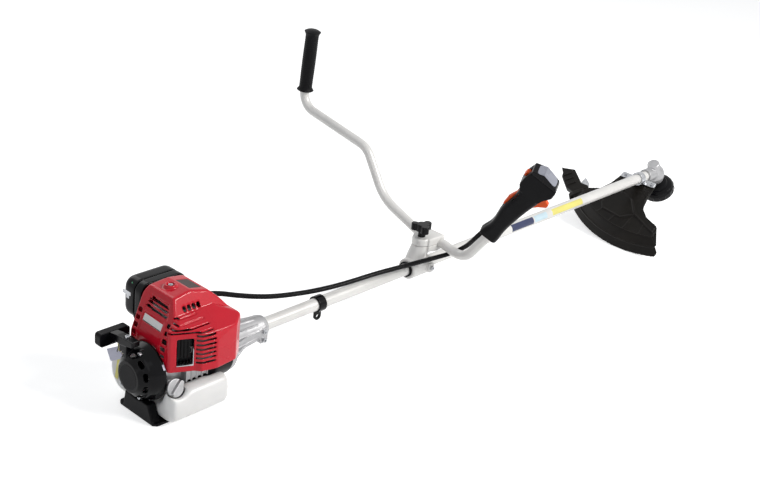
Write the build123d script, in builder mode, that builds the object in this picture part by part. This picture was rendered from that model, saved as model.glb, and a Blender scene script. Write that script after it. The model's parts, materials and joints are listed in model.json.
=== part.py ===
"""Petrol string trimmer with a small four-stroke engine, a straight drive tube and a bull handlebar.

Machine frame, in millimetres: +X runs along the drive tube to the cutting head, +Y is the
operator's left, +Z is up, and the origin is on the tube's axis at the clutch housing's front face.
Every piece is built there, and finish() then sets it down on the floor, where the machine stands
on its tank stand and on the rear rim of its guard.
"""
from build123d import *
import os
from math import atan2, cos, degrees, pi, radians, sin, tan

os.makedirs("parts", exist_ok=True)

# ---------------------------------------------------------------- fits
slip = 0.05           # radial clearance of a shaft or tube in its bore
gap = 0.3             # gap between a moving piece and its neighbour
seam = 0.15           # gap between two still pieces that lie side by side

# ---------------------------------------------------------------- drive tube and shaft
tube_d = 28.0
tube_wall = 1.5
tube_tail = -45.0     # tube end inside the clutch housing
tube_r = tube_d / 2
bore_r = tube_r - tube_wall
shaft_d = 8.0
shaft_r = shaft_d / 2
bush_len = 24.0
bush_count = 4

# ---------------------------------------------------------------- cutting head
gear_x = 1500.0       # crossing of the shaft axis and the output axis
output_angle = 58.0   # output axis below the tube axis, degrees
neck_x = 1447.0       # rear face of the gear case
guard_x = 1425.0      # guard plate's reference point, under the tube clamp
guard_z = -12.0
guard_t = 3.0
guard_reach = 170.0   # the plate's rearmost edge, behind its reference point
guard_plate_r = 290.0
guard_band_w = 26.0   # sloping band outside the plate
guard_skirt_w = 16.0  # steep skirt outside the band
guard_ridge_depth = 9.0
guard_rim_depth = 30.0
guard_ridge_r = guard_plate_r + guard_band_w
guard_rim_r = guard_ridge_r + guard_skirt_w
guard_arc_rear = guard_reach - guard_plate_r
guard_arc_left = -62.0

# ---------------------------------------------------------------- stand
stand_heel_x = -312.0
stand_toe_x = -150.0
stand_heel_z = -90.0
stand_half = 57.0
stand_top_z = -84.0

# the output axis points down and forward; rearward is square to it, in the tube's plane
down_axis = Vector(cos(radians(output_angle)), 0, -sin(radians(output_angle)))
rear_axis = Vector(-sin(radians(output_angle)), 0, -cos(radians(output_angle)))
guard_low_rear = guard_arc_rear + guard_rim_r
guard_low_x = guard_x + guard_low_rear * rear_axis.X + guard_rim_depth * down_axis.X
guard_low_z = guard_z + guard_low_rear * rear_axis.Z + guard_rim_depth * down_axis.Z
rest_tilt = atan2(stand_heel_z - guard_low_z, guard_low_x - stand_heel_x)
stand_mid_x = (stand_heel_x + stand_toe_x) / 2


def floor_z(x):
    """Height of the floor under the machine at x, in the machine frame."""
    return stand_heel_z - (x - stand_heel_x) * tan(rest_tilt)


# the floor frame has its origin at the middle of the stand's underside
rest_pose = Location((0, 0, 0), (0, -degrees(rest_tilt), 0)) * Location(
    (-stand_mid_x, 0, -floor_z(stand_mid_x))
)


def finish(piece, name):
    """Sets a finished piece down on the floor, labels it and writes its file."""
    piece.part = rest_pose * piece.part
    piece.part.label = name
    export_step(piece.part, f"parts/{name}.step")


# ---------------------------------------------------------------- profile helpers
def outline(plane, points):
    """A closed straight-sided face on a plane."""
    with BuildSketch(plane) as face:
        with BuildLine():
            Polyline(*points, close=True)
        make_face()
    return face.sketch


def disc(plane, radius, inner=0.0):
    """A round face or a ring on a plane."""
    with BuildSketch(plane) as face:
        Circle(radius)
        if inner:
            Circle(inner, mode=Mode.SUBTRACT)
    return face.sketch


def across(x):
    """Plane square to the tube at x, with local x to the left and local y up."""
    return Plane(origin=(x, 0, 0), x_dir=(0, 1, 0), z_dir=(1, 0, 0))


def side(y):
    """Upright plane along the tube at y, with local x forward and local y up."""
    return Plane(origin=(0, y, 0), x_dir=(1, 0, 0), z_dir=(0, -1, 0))


def level(z):
    """Level plane at z, with local x forward and local y to the left."""
    return Plane(origin=(0, 0, z), x_dir=(1, 0, 0), z_dir=(0, 0, 1))


# planes of the cutting head: square to the output axis, and through it
output_plane = Plane(origin=(gear_x, 0, 0), x_dir=rear_axis, z_dir=down_axis)
output_side = Plane(origin=(gear_x, 0, 0), x_dir=rear_axis, z_dir=(0, -1, 0))
output_axis = Axis((gear_x, 0, 0), down_axis)
guard_plane = Plane(origin=(guard_x, 0, guard_z), x_dir=rear_axis, z_dir=down_axis)

# ---------------------------------------------------------------- cap screws, all of one size
screw_d = 5.0
screw_head_r = 4.6
screw_head_h = 5.0
screw_len = 14.0
screw_grip = 8.0          # shank below the head
screw_spots = []


def add_screw(seat, direction):
    """Notes a screw whose head rests at seat and whose shank points along direction."""
    screw_spots.append(Plane(origin=seat, z_dir=direction))


def screw_hole(seat, direction, depth=screw_len):
    """Clearance for a screw: its shank's hole, and room for the head above its seat."""
    spot = Plane(origin=seat, z_dir=direction)
    with BuildPart(mode=Mode.PRIVATE) as hole:
        extrude(disc(spot, screw_d / 2 + slip), amount=depth + slip)
        extrude(disc(spot, screw_head_r + gap), amount=-screw_head_h - gap)
    return hole.part


# ================================================================ engine: crank train
bearing_bore = 12.0
bearing_od = 28.0
bearing_w = 8.0
journal_r = bearing_bore / 2
race_r = bearing_od / 2
bearing_spots = []

cylinder_x = -228.0
bore = 39.0
throw = 15.0              # half the stroke
crank_back = -304.0
crank_front = -112.0
web_r = 27.0
web_t = 6.0
pin_r = 6.0
rod_t = 9.0
rod_length = 58.0
gudgeon_r = 4.5
web_gap = rod_t + 2 * gap
web_front = cylinder_x + web_gap / 2
web_back = cylinder_x - web_gap / 2
pin_height = throw + rod_length
cup_r = 20.0
cup_t = 5.0

with BuildPart() as crankshaft:
    extrude(disc(across(crank_back), journal_r), amount=web_back - web_t - crank_back)
    extrude(disc(across(web_front + web_t), journal_r), amount=crank_front - web_front - web_t)
    for start in (web_back - web_t, web_front):
        with BuildSketch(across(start)):
            Circle(web_r)
            with Locations((0, web_r * 0.85)):
                Rectangle(2 * web_r, web_r, mode=Mode.SUBTRACT)
            with Locations((0, throw / 2)):
                Rectangle(2 * pin_r + 8, throw + 2 * pin_r + 4)
        extrude(amount=web_t)
    with BuildSketch(across(web_back)):
        with Locations((0, throw)):
            Circle(pin_r)
    extrude(amount=web_gap)
    # starter cup on the rear end
    extrude(disc(across(crank_back), cup_r), amount=cup_t)
finish(crankshaft, "crankshaft")

with BuildPart() as connecting_rod:
    with BuildSketch(across(cylinder_x - rod_t / 2)):
        with Locations((0, throw)):
            Circle(pin_r + 4.5)
        with Locations((0, pin_height)):
            Circle(gudgeon_r + 3.5)
        with Locations((0, throw + rod_length / 2)):
            Rectangle(7, rod_length - 6)
        with Locations((0, throw)):
            Circle(pin_r + slip, mode=Mode.SUBTRACT)
        with Locations((0, pin_height)):
            Circle(gudgeon_r + slip, mode=Mode.SUBTRACT)
    extrude(amount=rod_t)
finish(connecting_rod, "connecting_rod")

piston_r = bore / 2 - slip
piston_skirt = 14.0       # from the pin down to the skirt's edge
piston_crown = 18.0       # from the pin up to the crown
piston_bottom = pin_height - piston_skirt
piston_top = pin_height + piston_crown
crown_t = 5.0
skirt_t = 3.0
with BuildPart() as piston:
    extrude(disc(Plane(origin=(cylinder_x, 0, piston_bottom)), piston_r), amount=piston_top - piston_bottom)
    extrude(disc(Plane(origin=(cylinder_x, 0, piston_bottom)), piston_r - skirt_t),
            amount=piston_top - piston_bottom - crown_t, mode=Mode.SUBTRACT)
    # gudgeon pin across the skirt
    with BuildSketch(across(cylinder_x - piston_r + 2)):
        with Locations((0, pin_height)):
            Circle(gudgeon_r)
    extrude(amount=2 * (piston_r - 2))
    # ring grooves
    for ring in range(3):
        ring_z = piston_top - 4 - 4 * ring
        extrude(disc(Plane(origin=(cylinder_x, 0, ring_z)), piston_r, piston_r - 0.8), amount=1.5,
                mode=Mode.SUBTRACT)
finish(piston, "piston")

# ================================================================ engine: crankcase and cylinder
case_r = 46.0
case_back = -286.0
case_front = -190.0
starter_screws = ((-9, 45), (43, -41), (-10, -45))
ear_r = 7.0               # ears that take the starter's screws
ear_len = 24.0
deck_z = 40.0
cover_low = 18.0          # lower edge of the red top cover
cover_step = 6.0
web_room_r = web_r + 4
web_room_back = web_back - web_t - 3
web_room_front = web_front + web_t + 3
rear_bearing_x = web_room_back - bearing_w - 3
front_bearing_x = web_room_front + 3
fin_back = cylinder_x - 29
fin_front = cylinder_x + 29
fin_right = -38.0
fin_left = 34.0
fin_top = 118.0
fin_t = 2.5
fin_pitch = 7.0
port_left = 36.0          # face of the inlet port, where the carburettor sits
port_right = -46.0        # face of the exhaust port, where the muffler sits
inlet_z = 78.0
exhaust_x = -213.0
exhaust_z = 62.0
chamber_z = piston_top + 2

oil_base = Vector(-272, -34, -27)
oil_dir = Vector(0, -0.92, 0.39).normalized()
oil_neck_r = 12.0
oil_neck_len = 32.0
oil_cap_r = 18.0
oil_cap_h = 9.0
oil_mouth = oil_base + oil_dir * oil_neck_len
oil_plane = Plane(origin=oil_mouth, x_dir=(1, 0, 0), z_dir=oil_dir)

with BuildPart() as crankcase:
    with BuildSketch(Plane.XZ):
        with BuildLine():
            Polyline((case_back, 0), (case_back, case_r - 6), (case_back + 6, case_r),
                     (case_front - 8, case_r), (case_front, case_r - 10), (case_front, 0), close=True)
        make_face()
    revolve(axis=Axis.X)
    # cylinder deck
    with BuildSketch(level(0)):
        with Locations((cylinder_x, (fin_left + fin_right) / 2)):
            Rectangle(fin_front - fin_back, fin_left - fin_right)
    extrude(amount=deck_z)
    with BuildSketch(level(deck_z)):
        Rectangle(1000, 400)
    extrude(amount=case_r, mode=Mode.SUBTRACT)
    # step that the top cover's rear wall stands in
    with BuildSketch(level(cover_low - gap)):
        with Locations((case_back, 0)):
            Rectangle(2 * cover_step, 4 * case_r)
    extrude(amount=case_r, mode=Mode.SUBTRACT)
    # ears for the starter's screws
    for screw_y, screw_z in starter_screws:
        with BuildSketch(across(case_back)):
            SlotCenterPoint((0.7 * screw_y, 0.7 * screw_z), (screw_y, screw_z), 2 * ear_r)
        extrude(amount=ear_len)
    # oil filler neck and the grey ribbed foot beside it
    extrude(disc(Plane(origin=oil_base, z_dir=oil_dir), oil_neck_r), amount=oil_neck_len)
    with BuildSketch(level(-13)):
        with Locations((case_front - 28, -50)):
            Rectangle(54, 18)
    extrude(amount=21)
    for rib in range(5):
        with BuildSketch(level(-15)):
            with Locations((case_front - 3 - 12.5 * rib, -52)):
                Rectangle(3, 20)
        extrude(amount=25)
    # room for the crank webs, the shaft, the two bearings and the rod
    extrude(disc(across(web_room_back), web_room_r), amount=web_room_front - web_room_back,
            mode=Mode.SUBTRACT)
    extrude(disc(across(case_back), journal_r + 1), amount=case_front - case_back, mode=Mode.SUBTRACT)
    extrude(disc(across(rear_bearing_x), race_r + slip), mode=Mode.SUBTRACT,
            amount=front_bearing_x + bearing_w - rear_bearing_x)
    extrude(disc(Plane(origin=(cylinder_x, 0, throw)), bore / 2), amount=deck_z, mode=Mode.SUBTRACT)
    extrude(disc(Plane(origin=oil_base, z_dir=oil_dir), oil_neck_r - 4), amount=oil_neck_len,
            mode=Mode.SUBTRACT)
finish(crankcase, "crankcase")
bearing_spots += [(rear_bearing_x, "tube"), (front_bearing_x, "tube")]

with BuildPart() as oil_cap:
    extrude(disc(oil_plane, oil_cap_r), amount=4)
    fillet(oil_cap.edges().filter_by(GeomType.CIRCLE), 1.5)
    extrude(disc(oil_plane, oil_neck_r - 4 - gap), amount=-12)
    with BuildSketch(Plane(origin=oil_mouth + oil_dir * 4, x_dir=(0.8, 0.25, 0.55), z_dir=oil_dir)):
        RectangleRounded(2 * oil_cap_r - 2, 9, 4)
    extrude(amount=oil_cap_h)
finish(oil_cap, "oil_cap")

with BuildPart() as cylinder:
    # base flange, barrel and head
    with BuildSketch(level(deck_z)):
        with Locations((cylinder_x, (fin_left + fin_right) / 2)):
            RectangleRounded(58, 58, 8)
    extrude(amount=6)
    extrude(disc(Plane(origin=(cylinder_x, 0, deck_z)), 25), amount=fin_top - deck_z)
    fin_count = int((fin_top - deck_z - 12) // fin_pitch) + 1
    for fin in range(fin_count):
        with BuildSketch(level(fin_top - fin_t - fin_pitch * fin)):
            with Locations((cylinder_x, (fin_left + fin_right) / 2)):
                RectangleRounded(fin_front - fin_back, fin_left - fin_right, 10)
        extrude(amount=fin_t)
    # inlet and exhaust ports
    with BuildSketch(side(0)):
        with Locations((cylinder_x, inlet_z)):
            Circle(12)
    extrude(amount=-port_left)
    with BuildSketch(side(0)):
        with Locations((exhaust_x, exhaust_z)):
            Circle(12)
    extrude(amount=-port_right)
    # plug boss
    plug_axis = Vector(1, 0, 0.12).normalized()
    plug_seat = Vector(-188, 0, 108)
    extrude(disc(Plane(origin=plug_seat - plug_axis * 28, z_dir=plug_axis), 8.5), amount=28)
    # bore, chamber and ports
    extrude(disc(Plane(origin=(cylinder_x, 0, deck_z)), bore / 2), amount=chamber_z - deck_z,
            mode=Mode.SUBTRACT)
    with BuildSketch(side(-bore / 2 + 1)):
        with Locations((cylinder_x, inlet_z + 8)):
            Circle(6)
    extrude(amount=-port_left + bore / 2, mode=Mode.SUBTRACT)
    extrude(disc(Plane(origin=plug_seat, z_dir=plug_axis), 5 + slip), amount=-16 - slip, mode=Mode.SUBTRACT)
finish(cylinder, "cylinder")

rocker_top = 136.0
with BuildPart() as rocker_cover:
    with BuildSketch(level(fin_top)):
        with Locations((cylinder_x + 2, -1)):
            RectangleRounded(46, 48, 8)
    extrude(amount=rocker_top - fin_top)
    fillet(rocker_cover.faces().sort_by(Axis.Z)[-1].edges(), 5)
    with BuildSketch(level(fin_top)):
        with Locations((cylinder_x + 2, -1)):
            RectangleRounded(40, 42, 6)
    extrude(amount=rocker_top - fin_top - 3, mode=Mode.SUBTRACT)
finish(rocker_cover, "rocker_cover")

with BuildPart() as spark_plug:
    extrude(disc(Plane(origin=plug_seat, z_dir=plug_axis), 5), amount=-16)
    with BuildSketch(Plane(origin=plug_seat, z_dir=plug_axis)):
        RegularPolygon(8, 6)
    extrude(amount=9)
    extrude(disc(Plane(origin=plug_seat + plug_axis * 9, z_dir=plug_axis), 5), amount=16)
    extrude(disc(Plane(origin=plug_seat + plug_axis * 25, z_dir=plug_axis), 3), amount=6)
finish(spark_plug, "spark_plug")

with BuildPart() as plug_cap:
    cap_spot = Plane(origin=plug_seat + plug_axis * 10, z_dir=plug_axis)
    extrude(disc(cap_spot, 8.5), amount=26)
    fillet(plug_cap.faces().sort_by(Axis.X)[-1].edges(), 4)
    extrude(disc(Plane(origin=plug_seat + plug_axis * 28, z_dir=(-0.2, -0.6, -0.75)), 4), amount=20)
    extrude(disc(cap_spot, 5 + slip), amount=15 + slip, mode=Mode.SUBTRACT)
    extrude(disc(cap_spot, 3 + slip), amount=21 + slip, mode=Mode.SUBTRACT)
finish(plug_cap, "plug_cap")

# ================================================================ engine: flywheel, fan and clutch
flywheel_back = -172.0
flywheel_front = -136.0
flywheel_r = 50.0
blade_count = 14
fan_back = case_front
fan_front = -126.0
fan_r = 60.0
fan_wall = 3.0

with BuildPart() as flywheel:
    extrude(disc(across(flywheel_back), flywheel_r, journal_r + slip), amount=8)
    extrude(disc(across(flywheel_back - 8), 14, journal_r + slip), amount=flywheel_front - flywheel_back + 8)
    with BuildSketch(across(flywheel_back + 8)):
        with PolarLocations(30, blade_count):
            with Locations(Location((0, 0, 0), (0, 0, 25))):
                Rectangle(34, 2.5)
    extrude(amount=flywheel_front - flywheel_back - 12)
finish(flywheel, "flywheel")

with BuildPart() as fan_cover:
    extrude(disc(across(fan_back), fan_r, fan_r - fan_wall), amount=fan_front - fan_back)
    extrude(disc(across(fan_back), fan_r, 22), amount=fan_wall)
    # scroll foot that meets the tank stand
    with BuildSketch(across(fan_front - 14)):
        with Locations((0, -fan_r + 2)):
            Rectangle(46, 12)
    extrude(amount=14)
    extrude(disc(across(fan_back + fan_wall), fan_r - fan_wall), amount=fan_front - fan_back,
            mode=Mode.SUBTRACT)
finish(fan_cover, "fan_cover")

drum_r = 38.5
drum_t = 2.5
drum_back = -126.0
drum_front = -108.0
housing_back = fan_front
housing_flange_r = 58.0
housing_bearing_x = -100.0
tube_stop_x = tube_tail - seam

with BuildPart() as clutch_shoes:
    extrude(disc(across(-131), 30, journal_r + slip), amount=3.5)
    extrude(disc(across(-127.5), drum_r - drum_t - 1, journal_r + slip), amount=14)
    with BuildSketch(across(-127.5)):
        Rectangle(2 * drum_r, 4)
        Circle(15, mode=Mode.SUBTRACT)
    extrude(amount=14, mode=Mode.SUBTRACT)
finish(clutch_shoes, "clutch_shoes")

with BuildPart() as clutch_drum:
    extrude(disc(across(drum_back), drum_r, drum_r - drum_t), amount=drum_front - drum_back)
    extrude(disc(across(drum_front - 3), drum_r), amount=3)
    extrude(disc(across(drum_front), journal_r), amount=52)
    extrude(disc(across(drum_front + 20), shaft_r + slip), amount=40, mode=Mode.SUBTRACT)
finish(clutch_drum, "clutch_drum")
shaft_back = drum_front + 20 + 1
bearing_spots.append((housing_bearing_x, "tube"))

clamp_screw_x = -18.0
with BuildPart() as clutch_housing:
    with BuildSketch(Plane.XZ):
        with BuildLine():
            Polyline(
                (housing_back, drum_r + 1), (housing_back, housing_flange_r),
                (housing_back + 12, housing_flange_r), (housing_back + 14, 50), (-95, 33), (-60, 28),
                (-12, 25), (-3, 23), (0, 21), (0, tube_r + slip), (tube_stop_x, tube_r + slip),
                (tube_stop_x, journal_r + 3), (housing_bearing_x + bearing_w, journal_r + 3),
                (housing_bearing_x + bearing_w, race_r + slip), (drum_front + 2, race_r + slip),
                (drum_front + 2, drum_r + 1), close=True)
        make_face()
    revolve(axis=Axis.X)
    # lower-right ribs and the clamp's ears
    for turn in (200, 225, 250, 275):
        with BuildSketch(Plane.XY.rotated((turn, 0, 0))):
            with BuildLine():
                Polyline((-112, 34), (-112, 54), (-70, 33), (-44, 27), (-44, 22), close=True)
            make_face()
        extrude(amount=1.5, both=True)
    with BuildSketch(side(0)):
        with Locations((clamp_screw_x, -7)):
            RectangleRounded(20, 34, 6)
    extrude(amount=26)
    extrude(disc(across(drum_back - 10), drum_r + 1), amount=drum_front + 12 - drum_back, mode=Mode.SUBTRACT)
    extrude(disc(across(tube_stop_x), tube_r + slip), amount=80, mode=Mode.SUBTRACT)
    for screw_z in (2.5, -16.5):
        add_screw((clamp_screw_x, -26, screw_z), (0, 1, 0))
        add(screw_hole((clamp_screw_x, -26, screw_z), (0, 1, 0), depth=8), mode=Mode.SUBTRACT)
finish(clutch_housing, "clutch_housing")

# ================================================================ muffler
muffler_back = -234.0
muffler_front = -192.0
muffler_right = -79.0
muffler_low = 30.0
muffler_high = 92.0
muffler_wall = 2.0
spout_dir = Vector(-1, -0.15, 0)
spout_r = 8.0
window_z = 59.0
with BuildPart() as muffler:
    with BuildSketch(side(port_right)):
        with Locations(((muffler_back + muffler_front) / 2, (muffler_low + muffler_high) / 2)):
            RectangleRounded(muffler_front - muffler_back, muffler_high - muffler_low, 9)
    extrude(amount=port_right - muffler_right)
    fillet(muffler.faces().sort_by(Axis.Y)[0].edges(), 6)
    spout = Plane(origin=(muffler_back + 4, -62, window_z), z_dir=spout_dir)
    extrude(disc(spout, spout_r), amount=14)
    extrude(disc(spout, spout_r - 1.5), amount=14, mode=Mode.SUBTRACT)
    # seam band
    with BuildSketch(side((port_right + muffler_right) / 2 + 2)):
        with Locations(((muffler_back + muffler_front) / 2, (muffler_low + muffler_high) / 2)):
            RectangleRounded(muffler_front - muffler_back + 3, muffler_high - muffler_low + 3, 10)
            RectangleRounded(muffler_front - muffler_back - 3, muffler_high - muffler_low - 3, 8,
                             mode=Mode.SUBTRACT)
    extrude(amount=4)
    # silencing chamber
    with BuildSketch(side(port_right - muffler_wall)):
        with Locations(((muffler_back + muffler_front) / 2, (muffler_low + muffler_high) / 2)):
            RectangleRounded(muffler_front - muffler_back - 2 * muffler_wall,
                             muffler_high - muffler_low - 2 * muffler_wall, 6)
    extrude(amount=port_right - muffler_right - 4 * muffler_wall, mode=Mode.SUBTRACT)
finish(muffler, "muffler")

# ================================================================ carburettor and its controls
carb_back = -246.0
carb_front = -206.0
carb_low = 62.0
carb_high = 94.0
cleaner_y = 61.0          # face between the carburettor and the air cleaner
lever_x = -225.0
lever_y = 49.0
lever_pin_r = 2.5
lever_t = 3.0
with BuildPart() as carburettor:
    with BuildSketch(side(port_left)):
        with Locations((cylinder_x, inlet_z)):
            RectangleRounded(36, 30, 5)
    extrude(amount=-4)
    with BuildSketch(side(port_left + 4)):
        with Locations(((carb_back + carb_front) / 2, (carb_low + carb_high) / 2)):
            RectangleRounded(carb_front - carb_back - 8, carb_high - carb_low, 4)
    extrude(amount=port_left + 4 - cleaner_y)
    # metering cover below, throttle shaft boss above
    with BuildSketch(level(carb_low - 6)):
        with Locations(((carb_back + carb_front) / 2, lever_y)):
            RectangleRounded(24, 18, 4)
    extrude(amount=6)
    extrude(disc(Plane(origin=(lever_x, lever_y, carb_high - 2)), 6), amount=4)
    with BuildSketch(side(port_left)):
        with Locations((cylinder_x, inlet_z)):
            Circle(6.5)
    extrude(amount=port_left - cleaner_y, mode=Mode.SUBTRACT)
    extrude(disc(Plane(origin=(lever_x, lever_y, carb_high - 12)), lever_pin_r + slip), amount=20,
            mode=Mode.SUBTRACT)
finish(carburettor, "carburettor")

with BuildPart() as throttle_lever:
    extrude(disc(Plane(origin=(lever_x, lever_y, carb_high - 11)), lever_pin_r), amount=13 + gap + lever_t)
    with BuildSketch(level(carb_high + 2 + gap)):
        with Locations((lever_x, lever_y)):
            Circle(6)
        with Locations((lever_x, lever_y + 1)):
            Rectangle(6, 12)
    extrude(amount=lever_t)
finish(throttle_lever, "throttle_lever")

# ================================================================ air cleaner
cleaner_back = -260.0
cleaner_front = -150.0
cleaner_low = 58.0
cleaner_high = 142.0
cleaner_seam_y = 80.0
cleaner_left = 118.0
cleaner_wall = 2.5
cleaner_mid_x = (cleaner_back + cleaner_front) / 2
cleaner_mid_z = (cleaner_low + cleaner_high) / 2
cleaner_len = cleaner_front - cleaner_back
cleaner_tall = cleaner_high - cleaner_low
cleaner_corner = 22.0
choke_y = 71.0
choke_z = 74.0
choke_pin_r = 2.5
hinge_r = 3.0
hinge_z = cleaner_low - hinge_r - gap
hinge_mid_x = -196.0
bulb_x = -236.0
bulb_y = 71.0
bulb_r = 9.0
bulb_travel = 3.0
bulb_stem_r = 3.0
bulb_top = cleaner_low - bulb_travel - gap

with BuildPart() as air_cleaner_case:
    with BuildSketch(side(cleaner_y)):
        with Locations((cleaner_mid_x, cleaner_mid_z)):
            RectangleRounded(cleaner_len, cleaner_tall, cleaner_corner)
    extrude(amount=cleaner_y - cleaner_seam_y)
    with BuildSketch(side(cleaner_y + cleaner_wall)):
        with Locations((cleaner_mid_x, cleaner_mid_z)):
            RectangleRounded(cleaner_len - 2 * cleaner_wall, cleaner_tall - 2 * cleaner_wall,
                             cleaner_corner - cleaner_wall)
    extrude(amount=cleaner_y - cleaner_seam_y, mode=Mode.SUBTRACT)
    # air horn from the carburettor and the filter's ledge
    with BuildSketch(side(cleaner_y)):
        with Locations((cylinder_x, inlet_z)):
            Circle(11)
    extrude(amount=-8)
    with BuildSketch(side(cleaner_y - 1)):
        with Locations((cylinder_x, inlet_z)):
            Circle(6.5)
    extrude(amount=-12, mode=Mode.SUBTRACT)
    # hinge knuckles under the seam
    for knuckle_x in (hinge_mid_x - 28, hinge_mid_x + 20):
        with BuildSketch(across(knuckle_x)):
            with Locations((cleaner_seam_y - 3.5, hinge_z + 1)):
                Rectangle(7, 2 * hinge_r + 2)
            with Locations((cleaner_seam_y, hinge_z)):
                Circle(hinge_r)
                Circle(1 + slip, mode=Mode.SUBTRACT)
        extrude(amount=8)
    # hole that the primer's stem is pressed into, and the choke shaft's bore
    extrude(disc(Plane(origin=(bulb_x, bulb_y, cleaner_low - 1)), bulb_stem_r + gap), amount=cleaner_wall + 2,
            mode=Mode.SUBTRACT)
    extrude(disc(Plane(origin=(cleaner_back - 5, choke_y, choke_z), z_dir=(1, 0, 0)), choke_pin_r + slip),
            amount=12, mode=Mode.SUBTRACT)
finish(air_cleaner_case, "air_cleaner_case")

with BuildPart() as choke_lever:
    choke_spot = Plane(origin=(cleaner_back - gap, choke_y, choke_z), x_dir=(0, 1, 0), z_dir=(-1, 0, 0))
    extrude(disc(choke_spot, choke_pin_r), amount=-cleaner_wall - gap)
    with BuildSketch(choke_spot):
        Circle(6)
        with Locations((0, 10)):
            RectangleRounded(6, 26, 2.9)
    extrude(amount=3)
finish(choke_lever, "choke_lever")

filter_y = cleaner_seam_y - 2
filter_t = 8.0
with BuildPart() as air_filter:
    with BuildSketch(side(filter_y)):
        with Locations((cleaner_mid_x, cleaner_mid_z)):
            RectangleRounded(cleaner_len - 2 * cleaner_wall - 1, cleaner_tall - 2 * cleaner_wall - 1,
                             cleaner_corner - cleaner_wall)
    extrude(amount=filter_t)
finish(air_filter, "air_filter")

cover_y = cleaner_seam_y + gap
cover_depth = cleaner_left - cover_y
with BuildPart() as air_cleaner_cover:
    with BuildSketch(side(cover_y)):
        with Locations((cleaner_mid_x, cleaner_mid_z)):
            RectangleRounded(cleaner_len, cleaner_tall, cleaner_corner)
    extrude(amount=-cover_depth)
    fillet(air_cleaner_cover.faces().sort_by(Axis.Y)[-1].edges(), 16)
    with BuildSketch(side(cover_y)):
        with Locations((cleaner_mid_x, cleaner_mid_z)):
            RectangleRounded(cleaner_len - 2 * cleaner_wall, cleaner_tall - 2 * cleaner_wall,
                             cleaner_corner - cleaner_wall)
    extrude(amount=-cover_depth + 14, mode=Mode.SUBTRACT)
    with BuildSketch(side(cover_y)):
        with Locations((cleaner_mid_x, cleaner_mid_z)):
            RectangleRounded(cleaner_len - 26, cleaner_tall - 26, cleaner_corner - 12)
    extrude(amount=-cover_depth + cleaner_wall, mode=Mode.SUBTRACT)
    # hinge barrel between the case's knuckles, with its pin
    with BuildSketch(across(hinge_mid_x - 20 + gap)):
        with Locations((cover_y + 3.5, hinge_z + 1)):
            Rectangle(7, 2 * hinge_r + 2)
        with Locations((cleaner_seam_y, hinge_z)):
            Circle(hinge_r)
    extrude(amount=40 - 2 * gap)
    with BuildSketch(across(hinge_mid_x - 28)):
        with Locations((cleaner_seam_y, hinge_z)):
            Circle(1)
    extrude(amount=56)
finish(air_cleaner_cover, "air_cleaner_cover")

with BuildPart() as primer_bulb:
    extrude(disc(Plane(origin=(bulb_x, bulb_y, bulb_top)), bulb_r), amount=-11)
    fillet(primer_bulb.faces().sort_by(Axis.Z)[0].edges(), 6.5)
    extrude(disc(Plane(origin=(bulb_x, bulb_y, bulb_top)), bulb_stem_r), amount=bulb_travel)
finish(primer_bulb, "primer_bulb")

# ================================================================ red top cover
cover_wall = 2.5
hood_right = -50.0
hood_left = 60.0
roof_z = 152.0
roof_ridge_x = -208.0
roof_front_x = -168.0
roof_front_z = 143.0
window_dir = Vector(0.898, -0.439, 0)
window_w = 32.0
window_h = 56.0


def inset_face(plane, points, radius, inset):
    """A closed face on a plane with rounded corners, drawn in by an inset."""
    with BuildSketch(plane) as face:
        with BuildLine():
            FilletPolyline(*points, radius=radius, close=True)
        make_face()
        if inset:
            offset(amount=-inset)
    return face.sketch


def three_way(side_points, end_points, plan_points, radius, inset):
    """The solid that has the given outlines from the side, from the end and from above."""
    with BuildPart(mode=Mode.PRIVATE) as form:
        extrude(inset_face(side(200), side_points, radius, inset), amount=400, dir=(0, -1, 0))
        extrude(inset_face(across(-400), end_points, radius, inset), amount=400, dir=(1, 0, 0),
                mode=Mode.INTERSECT)
        extrude(inset_face(level(-100), plan_points, radius, inset), amount=400, dir=(0, 0, 1),
                mode=Mode.INTERSECT)
    return form.part


def cover_form(low, inset):
    """The top cover's outer form down to a height, or the room inside it."""
    hood_side = [(-285, low), (-283, 60), (-250, 147), (roof_ridge_x, roof_z), (roof_front_x, roof_front_z),
                 (-148, 124), (-126, 96), (-106, 58), (-106, low)]
    hood_end = [(hood_left, low - 20), (hood_left, 130), (47, 153), (-20, 153), (hood_right, 104),
                (hood_right, low - 20)]
    hood_plan = [(-286, hood_right), (-286, hood_left), (-105, hood_left), (-105, hood_right)]
    bulge_side = [(-290, low), (-290, 96), (-255, 118), (-170, 120), (-132, 106), (-106, 70),
                  (-106, low)]
    bulge_end = [(0, low - 20), (0, 140), (-93, 96), (-99, 70), (-99, low - 20)]
    bulge_plan = [(-240, 10), (-250, -34), (-284, -48), (-284, -58), (-240, -80), (-232, -90),
                  (-200, -97), (-152, -93),
                  (-128, -74), (-109, -44), (-109, 10)]
    with BuildPart(mode=Mode.PRIVATE) as form:
        add(three_way(hood_side, hood_end, hood_plan, 8, inset))
        add(three_way(bulge_side, bulge_end, bulge_plan, 7, inset))
    return form.part


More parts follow.
